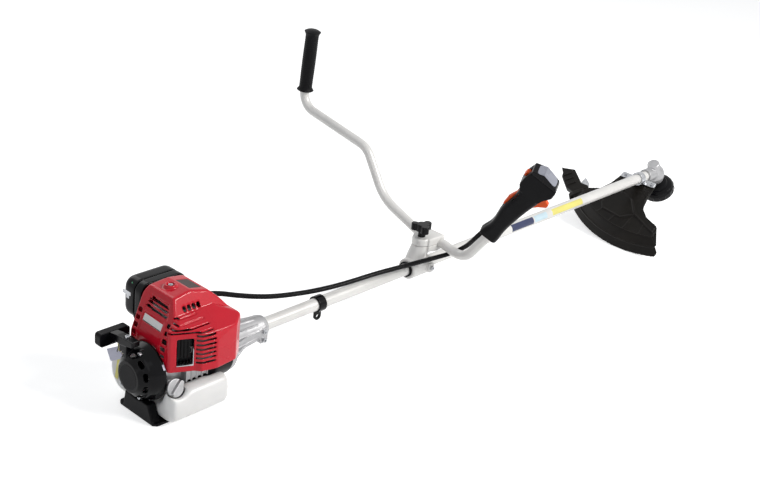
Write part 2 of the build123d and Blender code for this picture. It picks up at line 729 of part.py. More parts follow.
with BuildPart() as top_cover:
    add(cover_form(cover_low, 0))
    add(cover_form(cover_low - 40, cover_wall), mode=Mode.SUBTRACT)
    # mounting boss on the roof and its post down to the rocker cover
    boss_x = -225.0
    boss_y = 16.0
    extrude(disc(Plane(origin=(boss_x, boss_y, rocker_top + seam)), 7), amount=14)
    extrude(disc(Plane(origin=(boss_x, boss_y, roof_z - 6)), 11), amount=10)
    add_screw((boss_x, boss_y, roof_z - 3), (0, 0, -1))
    add(screw_hole((boss_x, boss_y, roof_z - 3), (0, 0, -1)), mode=Mode.SUBTRACT)
    # shallow window pressed into the roof's front slope
    slope = Vector(roof_front_x - roof_ridge_x, 0, roof_front_z - roof_z)
    slope_mid = Vector((roof_ridge_x + roof_front_x) / 2, 10, (roof_z + roof_front_z) / 2)
    with BuildSketch(Plane(origin=slope_mid, x_dir=slope, z_dir=slope.cross(Vector(0, 1, 0))).offset(-1)):
        RectangleRounded(slope.length - 10, 42, 3)
    extrude(amount=5, mode=Mode.SUBTRACT)
    # louvres on the right face
    for row in range(7):
        with BuildSketch(level(34 + 9.3 * row)):
            with Locations((-221, -88)):
                Rectangle(36, 30)
        extrude(amount=4, mode=Mode.SUBTRACT)
    # slots in the shoulder
    for slot in range(4):
        with BuildSketch(level(124)):
            with Locations((-234 + 10.5 * slot, -44)):
                Rectangle(5, 22)
        extrude(amount=13, mode=Mode.SUBTRACT)
    # two columns of slots in the rear face
    for row in range(6):
        for column_y, column_w in ((51, 9), (-37, 12)):
            with BuildSketch(level(26 + 14 * row)):
                with Locations((-280, column_y)):
                    Rectangle(30, column_w)
            extrude(amount=8, mode=Mode.SUBTRACT)
    # exhaust window in the rear right face
    window_plane = Plane(origin=(-257, -72, window_z), x_dir=window_dir,
                         z_dir=window_dir.cross(Vector(0, 0, 1)))
    with BuildSketch(window_plane.offset(-12)):
        RectangleRounded(window_w, window_h, 3)
    extrude(amount=24, mode=Mode.SUBTRACT)
    # room for the fan cover and the clutch housing in the front
    for start, end, around in ((fan_back - gap, fan_front, fan_r),
                               (fan_front, fan_front + 14, housing_flange_r),
                               (fan_front + 14, fan_front + 30, 50)):
        extrude(disc(across(start), around + gap), amount=end + gap - start, mode=Mode.SUBTRACT)
    # notch for the starter's top screw ear
    with BuildSketch(across(case_back - 4)):
        SlotCenterPoint((0.7 * starter_screws[0][0], 0.7 * starter_screws[0][1]), starter_screws[0],
                        2 * (ear_r + gap))
    extrude(amount=ear_len + 4 + gap, mode=Mode.SUBTRACT)
    # opening for the carburettor in the left wall, and the throttle cable's in the front
    with BuildSketch(side(hood_left - 6)):
        with Locations(((carb_back + carb_front) / 2, (carb_low + carb_high) / 2 - 2)):
            Rectangle(carb_front - carb_back, carb_high - carb_low + 12)
    extrude(amount=-12, mode=Mode.SUBTRACT)
    extrude(disc(Plane(origin=(-140, 44, 90), z_dir=(1, -0.1, -0.1)), 8), amount=60, mode=Mode.SUBTRACT)
finish(top_cover, "top_cover")

# ================================================================ recoil starter
starter_face = -331.0
starter_lip = case_back - seam
starter_lip_r = 58.0
starter_wall = 2.5
emblem_r = 31.0
reel_back = -321.0
reel_front = -309.0
reel_r = 32.0
reel_post_r = 5.0
rope_d = 3.5
rope_x = (reel_back + reel_front) / 2
rope_bore = 5.0
rope_y = 62.0             # end of the guide arm, where the grip rests
rope_z = 60.0
arm_y = -6.0
arm_screw_x = -320.0
arm_screw_y = 18.0
arm_top_z = 70.5
tower_y = (12.0, 34.0)
screw_seat_x = -309.0
pillar_r = 7.5


starter_outer = [(starter_face, 0), (starter_face, emblem_r), (-329, emblem_r + 2), (-322, 42), (-314, 46),
                 (-312, 48), (-304, 53), (-290, starter_lip_r), (starter_lip, starter_lip_r),
                 (starter_lip, 0)]
starter_inner = [(starter_face + starter_wall, 0), (starter_face + starter_wall, emblem_r - 2), (-320, 39),
                 (-311, 44), (-303, 50), (-290, starter_lip_r - starter_wall),
                 (starter_lip + 5, starter_lip_r - starter_wall), (starter_lip + 5, 0)]

with BuildPart() as starter_case:
    revolve(outline(Plane.XZ, starter_outer), axis=Axis.X)
    # guide tower and arm for the rope
    with BuildSketch(across(-327)):
        with Locations(((tower_y[0] + tower_y[1]) / 2, 46)):
            Rectangle(tower_y[1] - tower_y[0], 28)
    extrude(amount=16)
    with BuildSketch(across(-328)):
        with BuildLine():
            Polyline((arm_y, 62), (arm_y, 73), (40, 70), (rope_y, 66), (rope_y, 54), (34, 54), (12, 58),
                     close=True)
        make_face()
    extrude(amount=18)
    revolve(outline(Plane.XZ, starter_inner), axis=Axis.X, mode=Mode.SUBTRACT)
    # post for the reel, and the three screw pillars
    extrude(disc(across(starter_face + 1), reel_post_r), amount=reel_front - starter_face - 1)
    for screw_y, screw_z in starter_screws:
        with BuildSketch(across(screw_seat_x)):
            with Locations((screw_y, screw_z)):
                Circle(pillar_r)
        extrude(amount=starter_lip - screw_seat_x)
        add_screw((screw_seat_x, screw_y, screw_z), (1, 0, 0))
        add(screw_hole((screw_seat_x, screw_y, screw_z), (1, 0, 0), depth=30), mode=Mode.SUBTRACT)
    add_screw((arm_screw_x, arm_screw_y, arm_top_z), (0, 0, -1))
    add(screw_hole((arm_screw_x, arm_screw_y, arm_top_z), (0, 0, -1), depth=screw_grip),
        mode=Mode.SUBTRACT)
    # the rope's way down from the arm to the reel
    extrude(disc(Plane(origin=(rope_x, rope_y + 1, rope_z), z_dir=(0, -1, 0)), rope_bore / 2),
            amount=rope_y - 22, mode=Mode.SUBTRACT)
    extrude(disc(Plane(origin=(rope_x, 23, rope_z + 1), z_dir=(0, 0, -1)), rope_bore / 2), amount=34,
            mode=Mode.SUBTRACT)
finish(starter_case, "starter_case")

with BuildPart() as starter_reel:
    extrude(disc(across(reel_back), reel_r, reel_post_r + slip), amount=reel_front - reel_back)
    extrude(disc(across(reel_back + 3), reel_r + 1, reel_r - 9), amount=reel_front - reel_back - 6,
            mode=Mode.SUBTRACT)
finish(starter_reel, "starter_reel")

grip_len = 68.0
grip_tall = 28.0
grip_deep = 20.0
with BuildPart() as starter_grip:
    with BuildSketch(Plane(origin=(rope_x, rope_y + gap, rope_z - 8), x_dir=(1, 0, 0), z_dir=(0, 1, 0))):
        RectangleRounded(grip_len, grip_tall, 7)
    extrude(amount=grip_deep)
    fillet(starter_grip.faces().sort_by(Axis.Y)[-1].edges(), 5)
    extrude(disc(Plane(origin=(rope_x, rope_y, rope_z), z_dir=(0, 1, 0)), rope_d / 2), amount=12,
            mode=Mode.SUBTRACT)
finish(starter_grip, "starter_grip")

# ================================================================ fuel tank and its stand
tank_back = -292.0
tank_front = -155.0
tank_wall = 2.5
fuel_x = -205.0
fuel_y = 88.0
fuel_neck_r = 15.0
fuel_cap_r = 19.0
fuel_cap_h = 12.0
fuel_neck_z = 6.0
tank_profile = [(-88, -84), (88, -84), (112, -60), (114, -14), (104, 3), (66, 3), (48, -42), (40, -56),
                (-36, -56), (-46, -42), (-50, -16), (-88, -16)]
tank_radii = [24, 22, 16, 12, 16, 14, 5, 5, 5, 5, 12, 20]


def tank_form(inset):
    """The tank's outer form, or with an inset the fuel's room."""
    with BuildPart(mode=Mode.PRIVATE) as form:
        with BuildSketch(across(tank_back + inset)):
            with BuildLine():
                FilletPolyline(*tank_profile, radius=tank_radii, close=True)
            make_face()
            if inset:
                offset(amount=-inset)
        extrude(amount=tank_front - tank_back - 2 * inset)
        extrude(disc(across(fan_back - 2), fan_r + 1.5 + inset), amount=80, mode=Mode.SUBTRACT)
        extrude(disc(across(-300), starter_lip_r + 1 + inset), amount=starter_lip + 300 + inset,
                mode=Mode.SUBTRACT)
        for screw_y, screw_z in starter_screws:
            with BuildSketch(across(-300)):
                with Locations((screw_y, screw_z)):
                    Circle(pillar_r + 1 + inset)
            extrude(amount=300 + case_back + ear_len + 1 + inset, mode=Mode.SUBTRACT)
        extrude(disc(Plane(origin=oil_base, z_dir=oil_dir), oil_neck_r + 2 + inset), amount=60,
                mode=Mode.SUBTRACT)
        extrude(disc(Plane(origin=oil_mouth - oil_dir * 2, z_dir=oil_dir), oil_cap_r + 2 + inset),
                amount=60, mode=Mode.SUBTRACT)
    return form.part


with BuildPart() as fuel_tank:
    add(tank_form(0))
    extrude(disc(Plane(origin=(fuel_x, fuel_y, -4)), fuel_neck_r), amount=fuel_neck_z + 4)
    add(tank_form(tank_wall), mode=Mode.SUBTRACT)
    extrude(disc(Plane(origin=(fuel_x, fuel_y, -8)), fuel_neck_r - 2.5), amount=20, mode=Mode.SUBTRACT)
finish(fuel_tank, "fuel_tank")

with BuildPart() as fuel_cap:
    extrude(disc(Plane(origin=(fuel_x, fuel_y, fuel_neck_z + seam)), fuel_cap_r), amount=fuel_cap_h - 2)
    fillet(fuel_cap.faces().sort_by(Axis.Z)[-1].edges(), 2)
    with BuildSketch(level(fuel_neck_z + seam)):
        with Locations((fuel_x, fuel_y)):
            with PolarLocations(fuel_cap_r, 16):
                Circle(1.4)
    extrude(amount=fuel_cap_h - 4)
    extrude(disc(Plane(origin=(fuel_x, fuel_y, fuel_neck_z + 1)), fuel_neck_r - 2.5 - gap), amount=-10)
finish(fuel_cap, "fuel_cap")

with BuildPart() as tank_stand:
    # floor plate, rear wall and front wall, cut off level with the floor
    with BuildSketch(level(stand_heel_z - 20)):
        with Locations(((stand_heel_x + stand_toe_x) / 2, 0)):
            RectangleRounded(stand_toe_x - stand_heel_x, 2 * stand_half, 12)
    extrude(amount=stand_top_z - seam - stand_heel_z + 20)
    with BuildSketch(across(stand_heel_x)):
        with BuildLine():
            Polyline((-stand_half + 4, -92), (-34, -52), (34, -52), (stand_half - 16, -92), close=True)
        make_face()
    extrude(amount=tank_back - 1 - stand_heel_x)
    with BuildSketch(across(tank_front + 1)):
        with Locations((0, -74)):
            Rectangle(50, 44)
    extrude(amount=stand_toe_x - tank_front - 1)
    extrude(disc(across(-330), 54.5), amount=330 + starter_lip + 4, mode=Mode.SUBTRACT)
    extrude(disc(across(-304), starter_lip_r + seam), amount=304 + starter_lip + 4, mode=Mode.SUBTRACT)
    extrude(disc(across(fan_back - 2), fan_r + seam), amount=80, mode=Mode.SUBTRACT)
    with BuildSketch(Plane(origin=(stand_heel_x, 0, stand_heel_z), x_dir=(cos(rest_tilt), 0, -sin(rest_tilt)),
                           z_dir=(-sin(rest_tilt), 0, -cos(rest_tilt)))):
        Rectangle(800, 400)
    extrude(amount=60, mode=Mode.SUBTRACT)
finish(tank_stand, "tank_stand")

# ================================================================ drive tube and shaft
pinion_teeth = 12
gear_teeth = 17
neck_r = 19.0
tube_end = gear_x - 38
pinion_bearing_x = tube_end + 1
pinion_front = gear_x - 15
shaft_front = pinion_front - 1

with BuildPart() as drive_tube:
    extrude(disc(across(tube_tail), tube_r, bore_r), amount=tube_end - tube_tail)
finish(drive_tube, "drive_tube")

with BuildPart() as drive_shaft:
    extrude(disc(across(shaft_back), shaft_r), amount=shaft_front - shaft_back)
finish(drive_shaft, "drive_shaft")

with BuildPart() as shaft_bushes:
    for bush in range(bush_count):
        bush_x = tube_tail + 40 + (tube_end - tube_tail - 80 - bush_len) * bush / (bush_count - 1)
        extrude(disc(across(bush_x), bore_r - slip, shaft_r + slip), amount=bush_len)
finish(shaft_bushes, "shaft_bushes")

# ================================================================ cutting head
half_pinion = atan2(sin(radians(output_angle)), gear_teeth / pinion_teeth + cos(radians(output_angle)))
half_gear = radians(output_angle) - half_pinion
cone_out = 24.0           # outer cone distance of the bevel gears
cone_in = 16.0
tooth_gap = 0.4           # each gear's faces stand this far off the pitch cone
gear_room_r = 15.0
case_top_s = -36.0        # along the output axis, from the crossing of the two axes downwards
upper_bearing_s = -33.0
gear_back_s = -cone_out * cos(half_gear)
lower_bearing_s = 20.0
case_low_s = 31.0
output_r = bearing_bore / 2
flange_s = 34.0
head_s = 48.0
head_low_s = 82.0
head_r = 46.0
knob_low_s = 90.0
bump_travel = 5.0
shaft_end_s = head_low_s - bump_travel - 5


def at_output(s):
    """Plane square to the output axis, at a distance along it from the crossing."""
    return output_plane.offset(s)


def bevel(plane, teeth, half, shaft_out_r):
    """A bevel gear on a plane at its apex, opening along the plane's normal."""
    root_depth = 2.2
    with BuildPart(mode=Mode.PRIVATE) as gear:
        outer = cone_out * sin(half) - tooth_gap
        inner = cone_in * sin(half) - tooth_gap
        far = cone_out * cos(half)
        near = cone_in * cos(half)
        with BuildSketch(Plane.XZ):
            with BuildLine():
                Polyline((0, near), (inner, near), (outer, far), (shaft_out_r, far), (0, far), close=True)
            make_face()
        revolve(axis=Axis.Z)
        for tooth in range(teeth):
            with BuildSketch(Plane.XY.rotated((0, 0, 360 * tooth / teeth)).offset(near)):
                with Locations((inner, 0)):
                    Rectangle(root_depth, inner * 3 / teeth)
            with BuildSketch(Plane.XY.rotated((0, 0, 360 * tooth / teeth)).offset(far)):
                with Locations((outer, 0)):
                    Rectangle(root_depth, outer * 3 / teeth)
            loft(mode=Mode.SUBTRACT)
    return plane.location * gear.part


with BuildPart() as pinion:
    pinion_apex = Plane(origin=(gear_x, 0, 0), x_dir=(0, 1, 0), z_dir=(-1, 0, 0))
    add(bevel(pinion_apex, pinion_teeth, half_pinion, journal_r))
    extrude(disc(across(pinion_bearing_x - 0.5), journal_r), amount=pinion_front - pinion_bearing_x - 2)
    extrude(disc(across(pinion_bearing_x - 2), shaft_r + slip), mode=Mode.SUBTRACT,
            amount=shaft_front + slip - pinion_bearing_x + 2)
finish(pinion, "pinion")
bearing_spots.append((pinion_bearing_x, "tube"))
bearing_spots.append((upper_bearing_s, "output"))
bearing_spots.append((lower_bearing_s, "output"))

with BuildPart() as output_gear:
    gear_apex = Plane(origin=(gear_x, 0, 0), x_dir=rear_axis, z_dir=-down_axis)
    add(bevel(gear_apex, gear_teeth, half_gear, output_r))
    extrude(disc(at_output(upper_bearing_s), output_r), amount=shaft_end_s - upper_bearing_s)
finish(output_gear, "output_gear")

with BuildPart() as gear_case:
    with BuildSketch(output_side):
        with BuildLine():
            Polyline((0, case_top_s), (15, case_top_s), (17, case_top_s + 2), (18, -22), (21, -12), (25, -2),
                     (26, 10), (23, lower_bearing_s), (19, case_low_s), (0, case_low_s), close=True)
        make_face()
    revolve(axis=output_axis)
    extrude(disc(across(neck_x), neck_r), amount=gear_x - neck_x - 10)
    # clamp ear under the neck
    with BuildSketch(across(neck_x + 3)):
        with Locations((0, -neck_r - 2)):
            RectangleRounded(12, 12, 3)
    extrude(amount=16)
    extrude(disc(across(neck_x - 1), tube_r + slip), amount=tube_end + seam - neck_x + 1, mode=Mode.SUBTRACT)
    extrude(disc(across(tube_end - 1), race_r - 1.5), amount=4, mode=Mode.SUBTRACT)
    extrude(disc(across(pinion_bearing_x), race_r + slip), amount=bearing_w, mode=Mode.SUBTRACT)
    extrude(disc(across(pinion_bearing_x), 11), amount=gear_x - 4 - pinion_bearing_x, mode=Mode.SUBTRACT)
    extrude(disc(at_output(gear_back_s - 4), gear_room_r), amount=lower_bearing_s - gear_back_s + 4,
            mode=Mode.SUBTRACT)
    extrude(disc(at_output(upper_bearing_s), race_r + slip), amount=gear_back_s - upper_bearing_s,
            mode=Mode.SUBTRACT)
    extrude(disc(at_output(lower_bearing_s - 1), race_r + slip), amount=bearing_w + 1, mode=Mode.SUBTRACT)
    extrude(disc(at_output(lower_bearing_s), output_r + 2), amount=40, mode=Mode.SUBTRACT)
finish(gear_case, "gear_case")

with BuildPart() as head_flange:
    with BuildSketch(output_side):
        with BuildLine():
            Polyline((output_r + slip, flange_s), (12, flange_s), (27, flange_s + 6), (31, head_s),
                     (output_r + slip, head_s), close=True)
        make_face()
    revolve(axis=output_axis)
finish(head_flange, "head_flange")

head_wall = 2.5
knob_r = 25.0
spool_r = 36.0
spool_top_s = head_s + head_wall + bump_travel + 1
spool_low_s = head_low_s - head_wall - 1
with BuildPart() as trimmer_head:
    with BuildSketch(output_side):
        with BuildLine():
            Polyline((0, head_s), (34, head_s), (head_r - 4, head_s + 4), (head_r, head_s + 12),
                     (head_r, head_low_s - 6), (head_r - 5, head_low_s), (0, head_low_s), close=True)
        make_face()
    revolve(axis=output_axis)
    extrude(disc(at_output(head_s + head_wall), spool_r + 2), amount=head_low_s - head_s - 2 * head_wall,
            mode=Mode.SUBTRACT)
    extrude(disc(at_output(head_s - 1), output_r + slip), amount=60, mode=Mode.SUBTRACT)
    extrude(disc(at_output(head_low_s - 5), knob_r + gap), amount=20, mode=Mode.SUBTRACT)
    # grip ribs round the rim, and the two line holes
    with BuildSketch(at_output(head_s + 14)):
        with PolarLocations(head_r, 18):
            Circle(1.6)
    extrude(amount=head_low_s - head_s - 22)
    for turn in (20, 200):
        way_out = rear_axis * cos(radians(turn)) + Vector(0, sin(radians(turn)), 0)
        eyelet = Plane(origin=output_plane.from_local_coords((0, 0, head_s + 18)), x_dir=down_axis,
                       z_dir=way_out)
        extrude(disc(eyelet.offset(head_r - 8), 4.5), amount=9.5)
        extrude(disc(eyelet.offset(spool_r - 4), 2), amount=20, mode=Mode.SUBTRACT)
finish(trimmer_head, "trimmer_head")

with BuildPart() as line_spool:
    extrude(disc(at_output(spool_top_s), spool_r, output_r + gap), amount=spool_low_s - spool_top_s)
    for middle in (0.3, 0.7):
        s = spool_top_s + (spool_low_s - spool_top_s) * middle
        extrude(disc(at_output(s - 3), spool_r + 1, 20), amount=6, mode=Mode.SUBTRACT)
finish(line_spool, "line_spool")

with BuildPart() as bump_knob:
    extrude(disc(at_output(spool_low_s + seam), knob_r), amount=knob_low_s - spool_low_s - seam)
    fillet(bump_knob.edges().filter_by(GeomType.CIRCLE).sort_by(Axis((0, 0, 0), down_axis))[-1], 5)
    with BuildSketch(at_output(head_low_s + 1)):
        with PolarLocations(knob_r, 10):
            Circle(1.8)
    extrude(amount=knob_low_s - head_low_s, mode=Mode.SUBTRACT)
finish(bump_knob, "bump_knob")

# ================================================================ guard
arc_start = -15.5
arc_end = 41.3
band_start = -20.5    # the sloping band's right end, further round than the plate's


def arc_spot(radius, angle):
    """In-plane place on the guard at a radius and an angle about the centre of its rim."""
    return (guard_arc_rear + radius * cos(radians(angle)), guard_arc_left + radius * sin(radians(angle)))


def from_corner(rear, left):
    """In-plane place on the guard by its offset from the left end of the plate's round edge."""
    corner_rear, corner_left = arc_spot(guard_plate_r, arc_end)
    return (corner_rear + rear, corner_left + left)


def guard_at(rear, left, depth=0.0):
    """Machine place of a spot on the guard's plane, with its depth below the plane."""
    return guard_plane.from_local_coords((rear, left, depth))


clamp_x = 1405.0
clamp_w = 18.0
clamp_r = tube_r + 4.5
guard_screws = ((-3, 49), (-1, -38))
plate_edge = [(-12, 61), (1, 63), (38, 72), from_corner(-31, -41.5), from_corner(-16, -10.5),
              from_corner(0, 0)]
plate_side = [(124, -136), (108, -88), (86, -64), (41, -54), (-6, -49)]
with BuildPart() as guard:
    with BuildSketch(guard_plane):
        with BuildLine():
            edge = Polyline(*plate_edge)
            rim = ThreePointArc(edge @ 1, arc_spot(guard_plate_r, (arc_start + arc_end) / 2),
                                arc_spot(guard_plate_r, arc_start))
            Polyline(rim @ 1, *plate_side, edge @ 0)
        make_face()
    extrude(amount=guard_t)
    # sloping band and skirt round the rim
    start_dir = rear_axis * cos(radians(band_start)) + Vector(0, sin(radians(band_start)), 0)
    band_plane = Plane(origin=guard_at(guard_arc_rear, guard_arc_left), x_dir=start_dir,
                       z_dir=start_dir.cross(down_axis))
    with BuildSketch(band_plane):
        with BuildLine():
            Polyline((guard_plate_r - 2, 0), (guard_ridge_r, guard_ridge_depth),
                     (guard_rim_r, guard_rim_depth), (guard_rim_r - guard_t, guard_rim_depth),
                     (guard_ridge_r - 2.5, guard_ridge_depth + guard_t), (guard_plate_r - 2, guard_t),
                     close=True)
        make_face()
    revolve(axis=Axis(guard_at(guard_arc_rear, guard_arc_left), down_axis),
            revolution_arc=arc_end - band_start)
    # the band's right end, cut on a straight line from the plate's corner
    with BuildSketch(guard_plane.offset(-5)):
        with BuildLine():
            Polyline(arc_spot(guard_plate_r - 4, arc_start), arc_spot(guard_rim_r, band_start),
                     arc_spot(guard_rim_r + 20, band_start), arc_spot(guard_rim_r + 20, 2 * band_start),
                     arc_spot(guard_plate_r - 4, 2 * band_start), close=True)
        make_face()
    extrude(amount=guard_rim_depth + 15, mode=Mode.SUBTRACT)
    # raised middle of the plate
    with BuildSketch(guard_plane):
        with BuildLine():
            Polyline((96, 60), (128, 34), (134, -28), (109, -50), (143, -132), (124, -130), (105, -88),
                     (84, -60), (24, -44), (24, 46), close=True)
        make_face()
    extrude(amount=-2)
    # room for the tube, its clamp and the two clamp screws
    extrude(disc(across(1200), tube_r + gap), amount=400, mode=Mode.SUBTRACT)
    extrude(disc(across(clamp_x - gap), clamp_r + gap), amount=clamp_w + 2 * gap, mode=Mode.SUBTRACT)
    for rear, left in guard_screws:
        extrude(disc(Plane(origin=guard_at(rear, left), z_dir=down_axis), screw_d / 2 + slip), amount=10,
                mode=Mode.SUBTRACT)
finish(guard, "guard")

with BuildPart() as guard_clamp:
    extrude(disc(across(clamp_x), clamp_r), amount=clamp_w)
    with BuildSketch(guard_plane.offset(-seam)):
        with Locations((-2, 6)):
            RectangleRounded(18, 110, 6)
    extrude(amount=-4)
    extrude(disc(across(clamp_x - 40), tube_r + slip), amount=clamp_w + 80, mode=Mode.SUBTRACT)
    for rear, left in guard_screws:
        seat = guard_at(rear, left, -seam - 4)
        add_screw(seat, down_axis)
        add(screw_hole(seat, down_axis), mode=Mode.SUBTRACT)
finish(guard_clamp, "guard_clamp")

extension_plane = guard_plane.offset(guard_t + seam)
extension_skirt = 18.0
with BuildPart() as guard_extension:
    with BuildSketch(extension_plane):
        with BuildLine():
            Polyline(from_corner(-24, 20.5), from_corner(-59, 67.5), from_corner(-49, 107.5),
                     from_corner(-33, 92.5), from_corner(-21, 87.5), from_corner(8, 52.5),
                     arc_spot(guard_ridge_r, arc_end + 1), arc_spot(guard_plate_r - 8, arc_end + 1),
                     from_corner(-14, -13.5), from_corner(-24, -1.5), close=True)
        make_face()
    extrude(amount=guard_t)
    for rear, left in ((-34, 75.5), (-21, 60.5), (-9, 44.5)):
        with BuildSketch(extension_plane):
            with Locations(Location((*from_corner(rear, left), 0), (0, 0, 38))):
                Rectangle(26, 3)
        extrude(amount=-3)
    # skirt along its outer edge
    skirt_edge = [from_corner(-49, 107.5), from_corner(-33, 92.5), from_corner(-21, 87.5),
                  from_corner(8, 52.5), arc_spot(guard_ridge_r, arc_end + 1)]
    skirt_inside = [(rear - 2.2, left - 2.2) for rear, left in skirt_edge]
    extrude(outline(extension_plane, skirt_edge + skirt_inside[::-1]), amount=extension_skirt)
finish(guard_extension, "guard_extension")

# steel blade under the extension that trims the line to length
cutter_t = 1.5
with BuildPart() as line_cutter:
    blade = [from_corner(-14, -9.5), from_corner(-33, -0.5), from_corner(-49, 22.5),
             from_corner(-28, 24.5), from_corner(-18, 10.5)]
    extrude(outline(extension_plane.offset(guard_t + seam), blade), amount=cutter_t)
finish(line_cutter, "line_cutter")

# ================================================================ harness clamp
harness_x = 158.0
harness_w = 20.0
harness_r = tube_r + 4.0
eye_r = 5.0
eye_t = 6.0
eye_z = -30.0
with BuildPart() as harness_clamp:
    extrude(disc(across(harness_x - harness_w / 2), harness_r), amount=harness_w)
    with BuildSketch(side(eye_t / 2)):
        with Locations((harness_x, (eye_z - tube_r) / 2 + 2)):
            Rectangle(harness_w - 2, -eye_z - tube_r + 4)
        with Locations((harness_x, eye_z)):
            Circle(9)
            Circle(eye_r, mode=Mode.SUBTRACT)
    extrude(amount=eye_t)
    extrude(disc(across(harness_x - 40), tube_r + slip), amount=80, mode=Mode.SUBTRACT)
finish(harness_clamp, "harness_clamp")

# ================================================================ handle bracket
bracket_back = 437.0
bracket_front = 500.0
sleeve_back = 432.0
sleeve_front = 504.0
sleeve_r = tube_r + 3.0
bracket_r = 24.5
column_foot_x = 456.0
column_top_x = 478.0
column_foot_r = 24.0
column_top_r = 20.0
bar_x = 519.0
bar_z = 53.0
bar_r = 11.0
bar_wall = 1.6
bracket_seam_z = bar_z
cap_high = 71.0
saddle_half = 25.0
ear_z = 0.0
with BuildPart() as rubber_sleeve:
    extrude(disc(across(sleeve_back), sleeve_r, tube_r + slip), amount=sleeve_front - sleeve_back)
finish(rubber_sleeve, "rubber_sleeve")

with BuildPart() as handle_bracket:
    extrude(disc(across(bracket_back), bracket_r), amount=bracket_front - bracket_back)
    fillet(handle_bracket.edges().filter_by(GeomType.CIRCLE), 3)
    with BuildSketch(level(8)):
        with Locations((column_foot_x + 3, 0)):
            Circle(column_foot_r - 1)
    with BuildSketch(level(bracket_seam_z)):
        with Locations((column_top_x, 0)):
            Circle(column_top_r)
    loft()
    # saddle and its web down to the clamp
    with BuildSketch(side(saddle_half)):
        with BuildLine():
            Polyline((column_top_x, bracket_seam_z), (bar_x + 13, bracket_seam_z), (bar_x + 13, bar_z - 6),
                     (bar_x + 4, bar_z - 16), (bar_x - 12, bar_z - 17), (column_top_x, bar_z - 12),
                     close=True)
        make_face()
    extrude(amount=2 * saddle_half)
    with BuildSketch(side(5)):
        with BuildLine():
            Polyline((column_foot_x, 10), (bracket_front - 4, 18), (bar_x, bar_z - 14), (column_top_x, 44),
                     close=True)
        make_face()
    extrude(amount=10)
    # clamp ears on the right
    with BuildSketch(side(-bracket_r + 8)):
        with Locations((490, ear_z)):
            RectangleRounded(18, 22, 5)
    extrude(amount=14)
    add_screw((490, -bracket_r - 6, ear_z), (0, 1, 0))
    add(screw_hole((490, -bracket_r - 6, ear_z), (0, 1, 0), depth=12), mode=Mode.SUBTRACT)
    extrude(disc(across(bracket_back - 1), sleeve_r + slip), amount=bracket_front - bracket_back + 40,
            mode=Mode.SUBTRACT)
    extrude(disc(Plane(origin=(bar_x, -60, bar_z), z_dir=(0, 1, 0)), bar_r + slip), amount=120,
            mode=Mode.SUBTRACT)
    extrude(disc(Plane(origin=(column_top_x, 0, 30)), 4 + slip), amount=40, mode=Mode.SUBTRACT)
finish(handle_bracket, "handle_bracket")

with BuildPart() as bracket_cap:
    with BuildSketch(level(bracket_seam_z + 1.0)):
        with Locations((column_top_x, 0)):
            Circle(column_top_r + 1)
        with Locations(((column_top_x + bar_x + 12) / 2, 0)):
            Rectangle(bar_x + 12 - column_top_x, 2 * saddle_half)
    extrude(amount=cap_high - bracket_seam_z - 1.0)
    fillet(bracket_cap.faces().sort_by(Axis.Z)[-1].edges(), 4)
    extrude(disc(Plane(origin=(bar_x, -60, bar_z), z_dir=(0, 1, 0)), bar_r + slip), amount=120,
            mode=Mode.SUBTRACT)
    extrude(disc(Plane(origin=(column_top_x, 0, 30)), 4 + slip), amount=60, mode=Mode.SUBTRACT)
finish(bracket_cap, "bracket_cap")

knob_base_z = cap_high + gap
with BuildPart() as clamp_knob:
    extrude(disc(Plane(origin=(column_top_x, 0, 34)), 4), amount=knob_base_z - 30)
    extrude(disc(Plane(origin=(column_top_x, 0, knob_base_z)), 9), amount=20)
    with BuildSketch(level(knob_base_z + 14)):
        with Locations((column_top_x, 0)):
            Circle(15)
            with PolarLocations(17, 3):
                Circle(9.5)
    extrude(amount=17)
    fillet(clamp_knob.faces().sort_by(Axis.Z)[-1].edges(), 3)
finish(clamp_knob, "clamp_knob")

# ================================================================ handlebar and left grip
grip_foot = Vector(bar_x, -157, 123.7)
bar_end_y = -230.3
bar_end_z = 218.7
bar_route = [(bar_end_y, bar_end_z), (-148, 112), (-96, 40), (-35, bar_z), (35, bar_z), (160, 98),
             (228, 203), (452, 243), (436, 431)]
bar_radii = [200, 45, 60, 40, 110, 50, 42]
with BuildPart() as handlebar:
    with BuildLine(across(bar_x)) as route:
        FilletPolyline(*bar_route, radius=bar_radii)
    with BuildSketch(Plane(origin=route.line @ 0, z_dir=route.line % 0)):
        Circle(bar_r)
        Circle(bar_r - bar_wall, mode=Mode.SUBTRACT)
    sweep(path=route.line)
finish(handlebar, "handlebar")

left_end = Vector(bar_x, 436, 431)
left_dir = (Vector(bar_x, 452, 243) - left_end).normalized()
left_len = 152.0
with BuildPart() as left_grip:
    grip_spine = Plane(origin=left_end - left_dir * 4, x_dir=(1, 0, 0), z_dir=left_dir)
    grip_side = Plane(origin=grip_spine.origin, x_dir=(1, 0, 0), z_dir=Vector(1, 0, 0).cross(left_dir))
    with BuildSketch(grip_side):
        with BuildLine():
            Polyline((0, 0), (14, 0), (18, 3), (19, 8), (17, 13), (16, 20), (16.5, left_len / 2),
                     (16, left_len - 24), (19, left_len - 12), (22, left_len), (14, left_len + 3),
                     (0, left_len + 3), close=True)
        make_face()
    revolve(axis=Axis(grip_spine.origin, left_dir))
    extrude(disc(Plane(origin=left_end, z_dir=left_dir), bar_r + slip), amount=left_len + 20,
            mode=Mode.SUBTRACT)
finish(left_grip, "left_grip")

